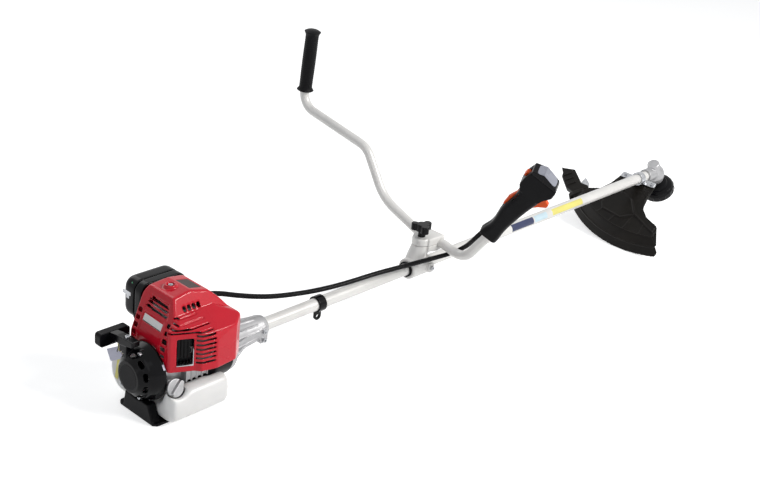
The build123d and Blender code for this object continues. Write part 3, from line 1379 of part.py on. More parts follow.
# ================================================================ throttle grip
grip_up = Vector(0, bar_end_y + 148, bar_end_z - 112).normalized()
grip_side_dir = Vector(0, -grip_up.Z, grip_up.Y)
trigger_dir = (Vector(1, 0, 0) * cos(radians(60)) + grip_side_dir * sin(radians(60))).normalized()
grip_plane = Plane(origin=grip_foot, x_dir=trigger_dir, z_dir=grip_up)
grip_face = Plane(origin=grip_foot, x_dir=trigger_dir, z_dir=trigger_dir.cross(grip_up))
grip_half = 17.0
grip_corner = 11.0
shell_t = 3.0
bar_reach = (Vector(bar_x, bar_end_y, bar_end_z) - grip_foot).length


def grip_at(x, y, z):
    """Machine place of a spot in the throttle grip's own frame."""
    return grip_plane.from_local_coords((x, y, z))


body_rings = [(0, -25, 19), (14, -24, 18), (40, -22, 14), (75, -29, 12.5), (110, -32, 13), (140, -32, 15),
              (168, -36, 15)]
head_outline = [(-35, 162), (-46, 176), (-48, 194), (-46.5, 215), (22, 215), (25, 196), (16, 178), (13, 162)]


def grip_body():
    """The throttle grip's closed outer form."""
    with BuildPart(mode=Mode.PRIVATE) as body:
        for height, back, front in body_rings:
            with BuildSketch(grip_plane.offset(height)):
                with Locations(((back + front) / 2, 0)):
                    RectangleRounded(front - back, 2 * grip_half, grip_corner)
        loft()
        with BuildSketch(grip_face.offset(grip_half)):
            with BuildLine():
                FilletPolyline(*head_outline, radius=5, close=True)
            make_face()
        extrude(amount=-2 * grip_half)
    return body.part


trigger_x = 12.0
trigger_z = 187.0
trigger_pin_r = 3.0
trigger_half = 5.0
trigger_shape = [(7, 190), (18, 190), (26, 172), (35, 168), (36, 160), (23, 148), (14, 134), (11.5, 140),
                 (11.5, 150), (12, 172), (7, 178)]
lock_x = -22.0
lock_z = 150.0
lock_pin_r = 2.5
lock_half = 4.0
lock_shape = [(-20, 154), (-31, 153), (-38, 122), (-35, 97), (-31, 99), (-27, 122), (-18, 146)]
switch_low = 192.0
switch_high = 208.0
switch_travel = 5.0

with BuildPart() as grip_shell:
    add(grip_body())
    # hollow above the bar's end, and the bar's bore below it
    with BuildSketch(grip_face.offset(grip_half - shell_t)):
        with BuildLine():
            Polyline((-28, bar_reach + 2), (10, bar_reach + 2), (9, 168), (12, 180), (19, 196), (18, 211),
                     (-42, 211), (-43, 195), (-41, 180), (-31, 168), close=True)
        make_face()
    extrude(amount=-2 * (grip_half - shell_t), mode=Mode.SUBTRACT)
    extrude(disc(grip_plane.offset(-20), bar_r + slip), amount=bar_reach + 24, mode=Mode.SUBTRACT)
    # slots for the trigger, the lockout lever and the stop switch
    with BuildSketch(grip_face.offset(trigger_half + gap)):
        with BuildLine():
            Polyline((4, 196), (30, 196), (30, 150), (24, 132), (4, 132), close=True)
        make_face()
    extrude(amount=-2 * (trigger_half + gap), mode=Mode.SUBTRACT)
    with BuildSketch(grip_face.offset(lock_half + gap)):
        with BuildLine():
            Polyline((-14, 157), (-60, 157), (-60, 94), (-23, 94), (-17, 112), (-14, 140), close=True)
        make_face()
    extrude(amount=-2 * (lock_half + gap), mode=Mode.SUBTRACT)
    with BuildSketch(grip_face.offset(6 + gap)):
        with BuildLine():
            Polyline((-60, switch_low - gap), (-38, switch_low - gap),
                     (-38, switch_high + switch_travel + gap), (-60, switch_high + switch_travel + gap),
                     close=True)
        make_face()
    extrude(amount=-2 * (6 + gap), mode=Mode.SUBTRACT)
    for pin_x, pin_z, pin_radius in ((trigger_x, trigger_z, trigger_pin_r), (lock_x, lock_z, lock_pin_r)):
        with BuildSketch(grip_face.offset(grip_half - 2)):
            with Locations((pin_x, pin_z)):
                Circle(pin_radius + 2.5)
        extrude(amount=-(grip_half - 2 - trigger_half - gap))
        with BuildSketch(grip_face.offset(-trigger_half - gap)):
            with Locations((pin_x, pin_z)):
                Circle(pin_radius + 2.5)
        extrude(amount=-(grip_half - 2 - trigger_half - gap))
        with BuildSketch(grip_face.offset(grip_half - 3)):
            with Locations((pin_x, pin_z)):
                Circle(pin_radius + slip)
        extrude(amount=-2 * (grip_half - 3), mode=Mode.SUBTRACT)

with BuildPart() as grip_front_half:
    add(grip_shell.part)
    split(bisect_by=grip_face.offset(-seam / 2), keep=Keep.BOTTOM)
finish(grip_front_half, "grip_front_half")
with BuildPart() as grip_rear_half:
    add(grip_shell.part)
    split(bisect_by=grip_face.offset(seam / 2), keep=Keep.TOP)
finish(grip_rear_half, "grip_rear_half")


def pivoted(shape, half, pin_x, pin_z, pin_radius, radii):
    """A lever cut from an outline in the grip's side plane, with its stub axle."""
    with BuildPart(mode=Mode.PRIVATE) as lever:
        with BuildSketch(grip_face.offset(half)):
            with BuildLine():
                FilletPolyline(*shape, radius=radii, close=True)
            make_face()
            with Locations((pin_x, pin_z)):
                Circle(pin_radius + 2)
        extrude(amount=-2 * half)
        with BuildSketch(grip_face.offset(grip_half - 4)):
            with Locations((pin_x, pin_z)):
                Circle(pin_radius)
        extrude(amount=-2 * (grip_half - 4))
    return lever.part


with BuildPart() as throttle_trigger:
    add(pivoted(trigger_shape, trigger_half, trigger_x, trigger_z, trigger_pin_r, 1))
finish(throttle_trigger, "throttle_trigger")
with BuildPart() as lockout_lever:
    add(pivoted(lock_shape, lock_half, lock_x, lock_z, lock_pin_r, 1))
finish(lockout_lever, "lockout_lever")
with BuildPart() as stop_switch:
    with BuildSketch(grip_face.offset(6)):
        with BuildLine():
            Polyline((-52, switch_low + 3), (-46, switch_low), (-40, switch_low), (-40, switch_high),
                     (-46, switch_high), (-52, switch_high - 3), close=True)
        make_face()
    extrude(amount=-12)
finish(stop_switch, "stop_switch")
with BuildPart() as grip_cap:
    with BuildSketch(grip_face.offset(grip_half)):
        with BuildLine():
            Polyline((-46.5, 215 + seam), (-46, 222), (-22, 232), (16, 222), (22, 215 + seam), close=True)
        make_face()
    extrude(amount=-2 * grip_half)
finish(grip_cap, "grip_cap")

# ================================================================ cables, rope and the shared fasteners
cable_d = 11.0
cable_entry = (-13, 11.5)
cable_end = grip_at(*cable_entry, -seam)
cable_route = [(-196, 47, 90), (-150, 46, 93), (-95, 41, 86), (-32, 34, 62), (36, 21, 44), (112, 11, 33),
               (165, 4, 28.5), (218, -3, 27), (262, -9, 28.5), (304, -15, 30.5), (336, -20, 31.5),
               (368, -25, 31.5), (414, -31, 31), (458, -34, 29), (497, -38, 28), (533, -47, 31),
               (550, -71, 51), (539, -96, 77), tuple(grip_at(*cable_entry, -38)), tuple(cable_end)]


def cord_radii(points):
    """The largest arc that fits each corner of a cord's route."""
    radii = []
    for before, corner, after in zip(points, points[1:], points[2:]):
        back = Vector(*corner) - Vector(*before)
        ahead = Vector(*after) - Vector(*corner)
        shorter = min(back.length, ahead.length)
        radii.append(0.45 * shorter / tan(radians(back.get_angle(ahead) / 2)))
    return radii


cable_radii = cord_radii(cable_route)
print("throttle cable radii:", [round(radius) for radius in cable_radii])
with BuildPart() as throttle_cable:
    with BuildLine() as cable_line:
        cable_path = FilletPolyline(*cable_route, radius=cable_radii)
    with BuildSketch(Plane(origin=cable_path @ 0, z_dir=cable_path % 0)):
        Circle(cable_d / 2)
    sweep(path=cable_line.line)
cable_length = cable_path.length
cable_section = pi * (cable_d / 2) ** 2
print("throttle cable length:", round(cable_length), "volume share:",
      round(throttle_cable.part.volume / (cable_section * cable_length), 4))
finish(throttle_cable, "throttle_cable")

with BuildPart() as starter_rope:
    extrude(disc(Plane(origin=(rope_x, 25, rope_z), z_dir=(0, 1, 0)), rope_d / 2),
            amount=rope_y + gap + 10 - 25)
finish(starter_rope, "starter_rope")

with BuildPart() as bearings:
    for place, frame_name in bearing_spots:
        seat_plane = across(place) if frame_name == "tube" else at_output(place)
        extrude(disc(seat_plane, race_r, race_r - 2.8), amount=bearing_w)
        extrude(disc(seat_plane.offset(0.5), race_r - 2.8, journal_r + 2.8), amount=bearing_w - 1)
        extrude(disc(seat_plane, journal_r + 2.8, journal_r + slip), amount=bearing_w)
finish(bearings, "bearings")

with BuildPart() as cap_screws:
    for spot in screw_spots:
        extrude(disc(spot, screw_d / 2), amount=screw_grip)
        extrude(disc(spot, screw_head_r), amount=-screw_head_h)
        with BuildSketch(spot.offset(-screw_head_h)):
            RegularPolygon(2.3, 6)
        extrude(amount=2.5, mode=Mode.SUBTRACT)
finish(cap_screws, "cap_screws")
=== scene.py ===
"""Looks of the string trimmer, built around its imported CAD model."""

import bpy
import bmesh
import json
import math
import numpy as np
from mathutils import Matrix, Vector


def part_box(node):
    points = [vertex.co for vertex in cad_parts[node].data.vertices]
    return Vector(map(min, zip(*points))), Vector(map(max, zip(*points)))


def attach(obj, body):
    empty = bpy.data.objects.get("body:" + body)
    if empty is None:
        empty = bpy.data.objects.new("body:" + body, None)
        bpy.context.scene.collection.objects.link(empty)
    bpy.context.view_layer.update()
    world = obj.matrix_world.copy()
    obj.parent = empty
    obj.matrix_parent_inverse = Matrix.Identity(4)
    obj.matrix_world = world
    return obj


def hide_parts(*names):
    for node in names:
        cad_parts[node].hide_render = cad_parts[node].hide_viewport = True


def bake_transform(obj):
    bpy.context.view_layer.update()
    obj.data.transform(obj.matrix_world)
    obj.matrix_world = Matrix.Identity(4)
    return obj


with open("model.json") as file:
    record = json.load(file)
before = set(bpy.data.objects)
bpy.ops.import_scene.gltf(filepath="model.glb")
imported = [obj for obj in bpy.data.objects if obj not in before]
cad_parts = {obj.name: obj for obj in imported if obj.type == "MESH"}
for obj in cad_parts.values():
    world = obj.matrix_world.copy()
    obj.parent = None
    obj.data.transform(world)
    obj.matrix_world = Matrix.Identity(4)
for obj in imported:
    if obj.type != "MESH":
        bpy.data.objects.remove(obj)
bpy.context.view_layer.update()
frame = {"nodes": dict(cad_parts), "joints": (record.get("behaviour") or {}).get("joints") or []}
scene = bpy.context.scene
nodes = frame["nodes"]
joints = {j["name"]: j for j in frame["joints"]}

# ------------------------------------------------------------------ camera
cam = bpy.data.cameras.new("camera")
cam.sensor_width = 36.0
cam.lens = 59.2
cam.clip_end = 120.0
camera = bpy.data.objects.new("camera", cam)
scene.collection.objects.link(camera)
camera.location = (-1.3594, -1.6155, 1.2726)
camera.rotation_euler = tuple(math.radians(a) for a in (66.941, -7.018, -46.926))
scene.camera = camera

# ------------------------------------------------------------------ light and floor
scene.view_settings.view_transform = "Standard"


def area_light(name, place, target, size, watts, color=(1, 1, 1)):
    """A square soft lamp at a place, aimed at a target."""
    lamp = bpy.data.lights.new(name, "AREA")
    lamp.shape = "SQUARE"
    lamp.size = size
    lamp.energy = watts
    lamp.color = color
    holder = bpy.data.objects.new(name, lamp)
    scene.collection.objects.link(holder)
    holder.location = place
    holder.rotation_euler = (Vector(target) - Vector(place)).to_track_quat("-Z", "Y").to_euler()


area_light("key", (2.1, -3.2, 3.1), (0.4, 0.0, 0.1), 1.5, 160, (1.0, 0.985, 0.96))
area_light("fill", (-3.2, -1.4, 2.2), (0.2, 0.0, 0.1), 2.5, 16, (0.95, 0.97, 1.0))
area_light("rim", (0.6, 3.2, 2.6), (0.5, 0.0, 0.1), 2.0, 30)


def seen_directly(tree):
    """A value that is 1 for camera, glossy and transmitted rays, and 0 for the rest."""
    path = tree.nodes.new("ShaderNodeLightPath")
    value = path.outputs["Is Camera Ray"]
    for ray in ("Is Glossy Ray", "Is Transmission Ray"):
        larger = tree.nodes.new("ShaderNodeMath")
        larger.operation = "MAXIMUM"
        tree.links.new(value, larger.inputs[0])
        tree.links.new(path.outputs[ray], larger.inputs[1])
        value = larger.outputs[0]
    return value


world = bpy.data.worlds.new("world")
scene.world = world
world.use_nodes = True
tree = world.node_tree
tree.nodes.clear()
out = tree.nodes.new("ShaderNodeOutputWorld")
mix = tree.nodes.new("ShaderNodeMixShader")
plain = tree.nodes.new("ShaderNodeBackground")
plain.inputs["Color"].default_value = (0.93, 0.96, 1.0, 1)
plain.inputs["Strength"].default_value = 0.30
white = tree.nodes.new("ShaderNodeBackground")
white.inputs["Color"].default_value = (1, 1, 1, 1)
white.inputs["Strength"].default_value = 1.0
tree.links.new(seen_directly(tree), mix.inputs[0])
tree.links.new(plain.outputs[0], mix.inputs[1])
tree.links.new(white.outputs[0], mix.inputs[2])
tree.links.new(mix.outputs[0], out.inputs["Surface"])


def floor_material():
    """Pale floor that shows white and keeps the shadow."""
    m = bpy.data.materials.new("pale_floor")
    m.use_nodes = True
    t = m.node_tree
    t.nodes.clear()
    output = t.nodes.new("ShaderNodeOutputMaterial")
    base = t.nodes.new("ShaderNodeBsdfDiffuse")
    base.inputs["Color"].default_value = (0.86, 0.86, 0.86, 1)
    glow = t.nodes.new("ShaderNodeEmission")
    glow.inputs["Color"].default_value = (1, 1, 1, 1)
    strength = t.nodes.new("ShaderNodeMath")
    strength.operation = "MULTIPLY"
    strength.inputs[1].default_value = 0.6
    t.links.new(seen_directly(t), strength.inputs[0])
    t.links.new(strength.outputs[0], glow.inputs["Strength"])
    total = t.nodes.new("ShaderNodeAddShader")
    t.links.new(base.outputs[0], total.inputs[0])
    t.links.new(glow.outputs[0], total.inputs[1])
    t.links.new(total.outputs[0], output.inputs["Surface"])
    return m


def mesh_object(name, verts, faces):
    """A new object from plain vertices and faces."""
    mesh = bpy.data.meshes.new(name)
    mesh.from_pydata([tuple(v) for v in verts], [], [tuple(f) for f in faces])
    mesh.update()
    o = bpy.data.objects.new(name, mesh)
    scene.collection.objects.link(o)
    return o


floor = mesh_object("floor", [(-40, -40, 0), (40, -40, 0), (40, 40, 0), (-40, 40, 0)], [(0, 1, 2, 3)])
floor.data.materials.append(floor_material())


# ------------------------------------------------------------------ machine frame
# millimetres, +X along the tube to the head, +Y left, +Z up, origin at the clutch housing's front face
tube_dir = Vector(joints["crank_spin"]["axis"]).normalized()
left_dir = Vector((0, 1, 0))
up_dir = tube_dir.cross(left_dir).normalized()
crank_x = -228.0
origin = Vector(joints["crank_spin"]["pos_m"]) - tube_dir * crank_x * 0.001
to_row = Matrix((
    (tube_dir.x * 0.001, left_dir.x * 0.001, up_dir.x * 0.001, origin.x),
    (tube_dir.y * 0.001, left_dir.y * 0.001, up_dir.y * 0.001, origin.y),
    (tube_dir.z * 0.001, left_dir.z * 0.001, up_dir.z * 0.001, origin.z),
    (0, 0, 0, 1)))


# ------------------------------------------------------------------ materials
def surface(name, color, rough, metal=0.0, variation=0.1, patch=30.0, grain=1500.0, bump=0.12, spread=0.08,
            coat=0.0, coat_rough=0.08, depth=0.0002, subsurface=0.0, specular=0.5):
    """A procedural finish: patchy colour and roughness, and a fine bump."""
    m = bpy.data.materials.new(name)
    m.use_nodes = True
    t = m.node_tree
    shader = t.nodes["Principled BSDF"]
    coords = t.nodes.new("ShaderNodeTexCoord")
    place = coords.outputs["Object"]
    cloud = t.nodes.new("ShaderNodeTexNoise")
    cloud.inputs["Scale"].default_value = patch
    cloud.inputs["Detail"].default_value = 5.0
    t.links.new(place, cloud.inputs["Vector"])
    shade = t.nodes.new("ShaderNodeMapRange")
    shade.inputs["From Min"].default_value = 0.3
    shade.inputs["From Max"].default_value = 0.7
    t.links.new(cloud.outputs["Fac"], shade.inputs["Value"])
    mix_color = t.nodes.new("ShaderNodeMix")
    mix_color.data_type = "RGBA"
    mix_color.inputs["A"].default_value = tuple(c * (1 - variation) for c in color) + (1,)
    mix_color.inputs["B"].default_value = tuple(min(1.0, c * (1 + variation)) for c in color) + (1,)
    t.links.new(shade.outputs["Result"], mix_color.inputs["Factor"])
    t.links.new(mix_color.outputs["Result"], shader.inputs["Base Color"])
    fine = t.nodes.new("ShaderNodeTexNoise")
    fine.inputs["Scale"].default_value = grain
    fine.inputs["Detail"].default_value = 3.0
    t.links.new(place, fine.inputs["Vector"])
    rougher = t.nodes.new("ShaderNodeMapRange")
    rougher.inputs["From Min"].default_value = 0.3
    rougher.inputs["From Max"].default_value = 0.7
    rougher.inputs["To Min"].default_value = max(0.02, rough - spread / 2)
    rougher.inputs["To Max"].default_value = rough + spread / 2
    t.links.new(cloud.outputs["Fac"], rougher.inputs["Value"])
    t.links.new(rougher.outputs["Result"], shader.inputs["Roughness"])
    relief = t.nodes.new("ShaderNodeBump")
    relief.inputs["Strength"].default_value = bump
    relief.inputs["Distance"].default_value = depth
    t.links.new(fine.outputs["Fac"], relief.inputs["Height"])
    t.links.new(relief.outputs["Normal"], shader.inputs["Normal"])
    shader.inputs["Metallic"].default_value = metal
    shader.inputs["Specular IOR Level"].default_value = specular
    shader.inputs["Coat Weight"].default_value = coat
    shader.inputs["Coat Roughness"].default_value = coat_rough
    if subsurface:
        shader.inputs["Subsurface Weight"].default_value = subsurface
        shader.inputs["Subsurface Radius"].default_value = (1.0, 0.95, 0.85)
        shader.inputs["Subsurface Scale"].default_value = 0.01
    return m


finish = {
    "red": surface("red_gloss", (0.58, 0.006, 0.022), 0.28, variation=0.06, patch=12, grain=700, bump=0.05,
                   coat=0.3, coat_rough=0.05, specular=0.12),
    "black": surface("black_satin", (0.004, 0.004, 0.005), 0.34, variation=0.25, grain=2600, bump=0.2,
                     specular=0.08),
    "black_gloss": surface("black_gloss", (0.003, 0.003, 0.004), 0.18, variation=0.25, grain=900, bump=0.05,
                           specular=0.13),
    "guard": surface("guard_plastic", (0.007, 0.006, 0.005), 0.38, variation=0.35, patch=18, grain=2200,
                     bump=0.25, specular=0.12),
    "rubber": surface("rubber", (0.006, 0.006, 0.007), 0.5, variation=0.25, grain=3200, bump=0.35,
                      specular=0.1),
    "grey": surface("grey_plastic", (0.27, 0.28, 0.33), 0.28, variation=0.1, grain=2600, bump=0.2),
    "orange": surface("orange_plastic", (0.86, 0.10, 0.010), 0.35, variation=0.06, grain=2600, bump=0.12,
                      specular=0.25),
    "tank": surface("tank_plastic", (0.86, 0.855, 0.84), 0.3, variation=0.04, patch=14, grain=1800,
                    bump=0.15, subsurface=0.25),
    "cast": surface("cast_aluminium", (0.42, 0.42, 0.43), 0.42, metal=0.7, variation=0.08, patch=60,
                    grain=1500, bump=0.25, depth=0.0002, spread=0.1),
    "painted": surface("silver_paint", (0.76, 0.75, 0.73), 0.34, metal=0.1, variation=0.05, patch=20,
                       grain=1800, bump=0.08, coat=0.1),
    "steel": surface("zinc_steel", (0.44, 0.45, 0.47), 0.28, metal=1.0, variation=0.12, patch=90,
                     grain=2400, bump=0.12, spread=0.14),
    "dark_steel": surface("dark_steel", (0.10, 0.10, 0.10), 0.5, metal=0.8, variation=0.3, patch=70,
                          grain=1600, bump=0.3),
    "bronze": surface("bronze", (0.45, 0.32, 0.16), 0.4, metal=1.0),
    "foam": surface("foam", (0.05, 0.05, 0.05), 0.9, variation=0.4, patch=300, grain=1400, bump=0.9,
                    depth=0.0008),
    "label": surface("bare_label", (0.88, 0.88, 0.87), 0.35, variation=0.02),
    "yellow": surface("yellow_label", (0.82, 0.74, 0.20), 0.4, variation=0.05),
    "pale_blue": surface("pale_blue_label", (0.58, 0.74, 0.82), 0.4, variation=0.05),
    "navy": surface("navy_label", (0.02, 0.03, 0.10), 0.35, variation=0.1),
    "green": surface("green_dot", (0.02, 0.30, 0.12), 0.4, variation=0.08),
    "tag": surface("tag_card", (0.62, 0.62, 0.74), 0.6, variation=0.04, grain=2600, bump=0.2),
    "window": surface("roof_label", (0.03, 0.012, 0.01), 0.3, variation=0.3, specular=0.12),
}
nodes_of = {
    "red": "top_cover",
    "black": "rocker_cover fan_cover choke_lever starter_case starter_reel starter_grip fuel_cap "
             "tank_stand head_flange line_spool grip_front_half grip_rear_half starter_rope",
    "black_gloss": "air_cleaner_case air_cleaner_cover trimmer_head bump_knob harness_clamp clamp_knob "
                   "grip_cap throttle_cable",
    "guard": "guard guard_extension",
    "rubber": "plug_cap primer_bulb shaft_bushes rubber_sleeve left_grip",
    "orange": "throttle_trigger lockout_lever stop_switch",
    "tank": "fuel_tank",
    "cast": "connecting_rod piston crankcase oil_cap cylinder flywheel clutch_housing carburettor "
            "gear_case",
    "painted": "drive_tube handle_bracket bracket_cap handlebar",
    "steel": "crankshaft spark_plug clutch_drum throttle_lever drive_shaft pinion output_gear guard_clamp "
             "line_cutter bearings cap_screws",
    "dark_steel": "clutch_shoes muffler",
    "foam": "air_filter",
}
node_finish = {node: kind for kind, row in nodes_of.items() for node in row.split()}
for node, kind in node_finish.items():
    o = nodes[node]
    o.data.materials.clear()
    o.data.materials.append(finish[kind])

# ------------------------------------------------------------------ modelling in machine millimetres
from_row = to_row.inverted()


def settled(o):
    """The object's mesh with its modifiers applied."""
    mesh = bpy.data.meshes.new_from_object(o.evaluated_get(bpy.context.evaluated_depsgraph_get()))
    o.modifiers.clear()
    old = o.data
    o.data = mesh
    bpy.data.meshes.remove(old)
    return o


def shaped(name, b):
    """An object from a bmesh, with its faces turned outwards."""
    bmesh.ops.recalc_face_normals(b, faces=b.faces)
    mesh = bpy.data.meshes.new(name)
    b.to_mesh(mesh)
    b.free()
    o = bpy.data.objects.new(name, mesh)
    scene.collection.objects.link(o)
    return o


def work_copy(name, node):
    """A welded copy of a CAD node, in machine millimetres."""
    b = bmesh.new()
    b.from_mesh(nodes[node].data)
    b.transform(from_row)
    bmesh.ops.remove_doubles(b, verts=b.verts, dist=0.002)
    return shaped(name, b)


def prism(points, origin, across_dir, up, depth, name="tool"):
    """A closed prism: an outline in a plane, pushed along the plane's normal by a depth."""
    u = Vector(across_dir).normalized()
    v = Vector(up)
    v = (v - u * v.dot(u)).normalized()
    n = u.cross(v)
    o = Vector(origin)
    b = bmesh.new()
    low = [b.verts.new(o + u * x + v * y) for x, y in points]
    high = [b.verts.new(o + u * x + v * y + n * depth) for x, y in points]
    b.faces.new(low)
    b.faces.new(high[::-1])
    for i in range(len(points)):
        j = (i + 1) % len(points)
        b.faces.new((low[i], low[j], high[j], high[i]))
    return shaped(name, b)


def block(lo, hi):
    """A closed box between two corners, square to the machine's axes."""
    return prism([(lo[0], lo[1]), (hi[0], lo[1]), (hi[0], hi[1]), (lo[0], hi[1])], (0, 0, lo[2]),
                 (1, 0, 0), (0, 1, 0), hi[2] - lo[2])


def round_points(w, h, r, steps=5):
    """The outline of a rectangle with round corners about its middle."""
    out = []
    for cx, cy, start in ((w / 2 - r, h / 2 - r, 0), (-w / 2 + r, h / 2 - r, 90),
                          (-w / 2 + r, -h / 2 + r, 180), (w / 2 - r, -h / 2 + r, 270)):
        for i in range(steps + 1):
            a = math.radians(start + 90 * i / steps)
            out.append((cx + r * math.cos(a), cy + r * math.sin(a)))
    return out


def ring_points(r, steps=40):
    """Points round a circle."""
    return [(r * math.cos(2 * math.pi * i / steps), r * math.sin(2 * math.pi * i / steps))
            for i in range(steps)]


def lathe(name, profile, origin, axis, steps=64, ripple=None, closed=False):
    """A turned form from (distance along the axis, radius) pairs.

    With closed it is a ring, and ripple(row, angle) scales the radius."""
    n = Vector(axis).normalized()
    u = n.orthogonal().normalized()
    v = n.cross(u)
    o = Vector(origin)
    b = bmesh.new()
    rows = []
    for k, (s, r) in enumerate(profile):
        row = []
        for i in range(steps):
            a = 2 * math.pi * i / steps
            rr = r * (ripple(k, a) if ripple else 1)
            row.append(b.verts.new(o + n * s + (u * math.cos(a) + v * math.sin(a)) * rr))
        rows.append(row)
    if closed:
        rows.append(rows[0])
    for k in range(len(rows) - 1):
        for i in range(steps):
            j = (i + 1) % steps
            b.faces.new((rows[k][i], rows[k][j], rows[k + 1][j], rows[k + 1][i]))
    if not closed:
        b.faces.new(rows[0][::-1])
        b.faces.new(rows[-1])
    return shaped(name, b)


def combine(o, others, operation):
    """Adds tools to a form or cuts them out of it, and uses the tools up.

    The manifold solver copes with tools that share a plane, where the exact one can lose the form."""
    for tool in others:
        m = o.modifiers.new("b", "BOOLEAN")
        m.operation = operation
        m.solver = "MANIFOLD"
        m.object = tool
        settled(o)
        bpy.data.objects.remove(tool)
    return o


def joined(name, parts):
    """One mesh object from several, which are used up."""
    b = bmesh.new()
    for part in parts:
        b.from_mesh(part.data)
        bpy.data.objects.remove(part)
    mesh = bpy.data.meshes.new(name)
    b.to_mesh(mesh)
    b.free()
    o = bpy.data.objects.new(name, mesh)
    scene.collection.objects.link(o)
    return o


def moulded(o, voxel=1.0, rounds=3, keep=0.4, trim=0.0):
    """Gives a form the soft edges of a moulding or casting, and trims its skin all over."""
    m = o.modifiers.new("r", "REMESH")
    m.mode = "VOXEL"
    m.voxel_size = voxel
    if rounds:
        m = o.modifiers.new("s", "SMOOTH")
        m.factor = 0.5
        m.iterations = rounds
    if trim:
        m = o.modifiers.new("t", "DISPLACE")
        m.mid_level = 0.0
        m.strength = -trim
    if keep < 1:
        m = o.modifiers.new("d", "DECIMATE")
        m.ratio = keep
    return settled(o)


def placed(o, kind, body, node=None, flat=False):
    """Moves a finished piece into the row frame, paints it, and lets it ride on its body."""
    o.data.transform(to_row)
    o.data.materials.clear()
    o.data.materials.append(finish[kind])
    o.data.polygons.foreach_set("use_smooth", [not flat] * len(o.data.polygons))
    if body:
        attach(o, body)
    if node:
        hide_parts(node)
    return o


def plate(name, origin, right, up, w, h, thick, corner, kind, body):
    """A thin rounded plate lying on a surface, with an eased rim."""
    outer = round_points(w, h, corner)
    inner = round_points(w - 0.5, h - 0.5, max(0.1, corner - 0.25))
    u = Vector(right).normalized()
    v = Vector(up)
    v = (v - u * v.dot(u)).normalized()
    n = u.cross(v)
    o = Vector(origin)
    b = bmesh.new()
    rows = []
    for points, height in ((outer, 0), (outer, thick * 0.6), (inner, thick)):
        rows.append([b.verts.new(o + u * x + v * y + n * height) for x, y in points])
    for k in range(2):
        for i in range(len(outer)):
            j = (i + 1) % len(outer)
            b.faces.new((rows[k][i], rows[k][j], rows[k + 1][j], rows[k + 1][i]))
    b.faces.new(rows[0][::-1])
    b.faces.new(rows[2])
    return placed(shaped(name, b), kind, body, flat=True)


# ------------------------------------------------------------------ red top cover
rear_up = Vector((33, 0, 87)).normalized()       # up the cover's sloping rear face
rear_right = Vector((0, -1, 0))
cover = work_copy("engine_cover", "top_cover")


def three_way(side_points, end_points, plan_points):
    """The solid with the given outlines from the side, from the end and from above."""
    tools = [prism(side_points, (0, 200, 0), (1, 0, 0), (0, 0, 1), 400),
             prism(end_points, (-400, 0, 0), (0, 1, 0), (0, 0, 1), 400),
             prism(plan_points, (0, 0, -100), (1, 0, 0), (0, 1, 0), 400)]
    return combine(tools[0], tools[1:], "INTERSECT")


# the cover's outer form with generous round edges, which trims the sharp ones off
hood = three_way([(-285, -40), (-285, 18), (-283, 60), (-250, 147), (-208, 152), (-168, 143), (-148, 124),
                  (-126, 96), (-106, 58), (-106, -40)],
                 [(60, -30), (60, 130), (47, 153), (-20, 153), (-50, 104), (-50, -30)],
                 [(-286, -50), (-286, 60), (-105, 60), (-105, -50)])
bulge = three_way([(-290, -40), (-290, 96), (-255, 118), (-170, 120), (-132, 106), (-106, 70), (-106, -40)],
                  [(0, -30), (0, 140), (-93, 96), (-99, 70), (-99, -30)],
                  [(-240, 10), (-250, -34), (-284, -48), (-284, -58), (-240, -80), (-232, -90), (-200, -97),
                   (-152, -93), (-128, -74), (-109, -44), (-109, 10)])
soft = moulded(joined("soft_form", [hood, bulge]), 1.8, 34, 1, -0.3)
cover = combine(cover, [soft], "INTERSECT")
cuts = []
# thin slots that wrap round the bulge's rear corner: height, right end, and (y, x) of the inner edge
for low, end_x, inner in ((115.5, -214, [(-45.8, -252)]), (109.5, -206, [(-58.5, -262)]),
                          (103.5, -203, [(-71.2, -244), (-57.5, -272)]),
                          (97.5, -203, [(-83.8, -229.5), (-74, -237), (-54.5, -278)])):
    strip = [(-310, -38), (-310, -120), (end_x, -120), (end_x, inner[0][0])]
    strip += [(x, y) for y, x in inner] + [(inner[-1][1], -38)]
    cuts.append(prism(strip, (0, 0, low), (1, 0, 0), (0, 1, 0), 2.8))
# recessed middle panel of the rear face
cuts.append(prism([(-41, -1), (22, -1), (20, 45), (-38, 45)], (-281.7, 0, 59.6), rear_right, rear_up, 20))
cuts.append(prism([(-41, 6), (22, 6), (22, 43), (-41, 43)], (-283.7, 0, 18), rear_right, (2, 0, 42), 20))
# counterbore of the ring on the roof
boss_x, boss_y, roof_z = -225, 16, 152
cuts.append(prism(ring_points(7.0), (boss_x, boss_y, roof_z - 2.5), (1, 0, 0), (0, 1, 0), 20))
# recess above the panel, with three slots
recess = [(-44, 50), (26, 50), (20, 80), (-34, 80)]
cuts.append(prism(recess, (-281.4, 0, 59.5), rear_right, rear_up, 20))
for low, left, right in ((53, -38, 20), (62, -35, 17), (71, -31, 15)):
    cuts.append(prism([(left, low + 2), (right, low - 1), (right, low + 3), (left, low + 6)],
                      (-274, 0, 57), rear_right, rear_up, 20))
# wider slots down both sides of the panel
for row in range(6):
    low = 26 + 14 * row
    inner_x = -272 + max(0, low - 60) * 0.38
    for right, left in ((-43, -29), (45, 56)):
        cuts.append(block((-300, right, low), (inner_x, left, low + 8)))
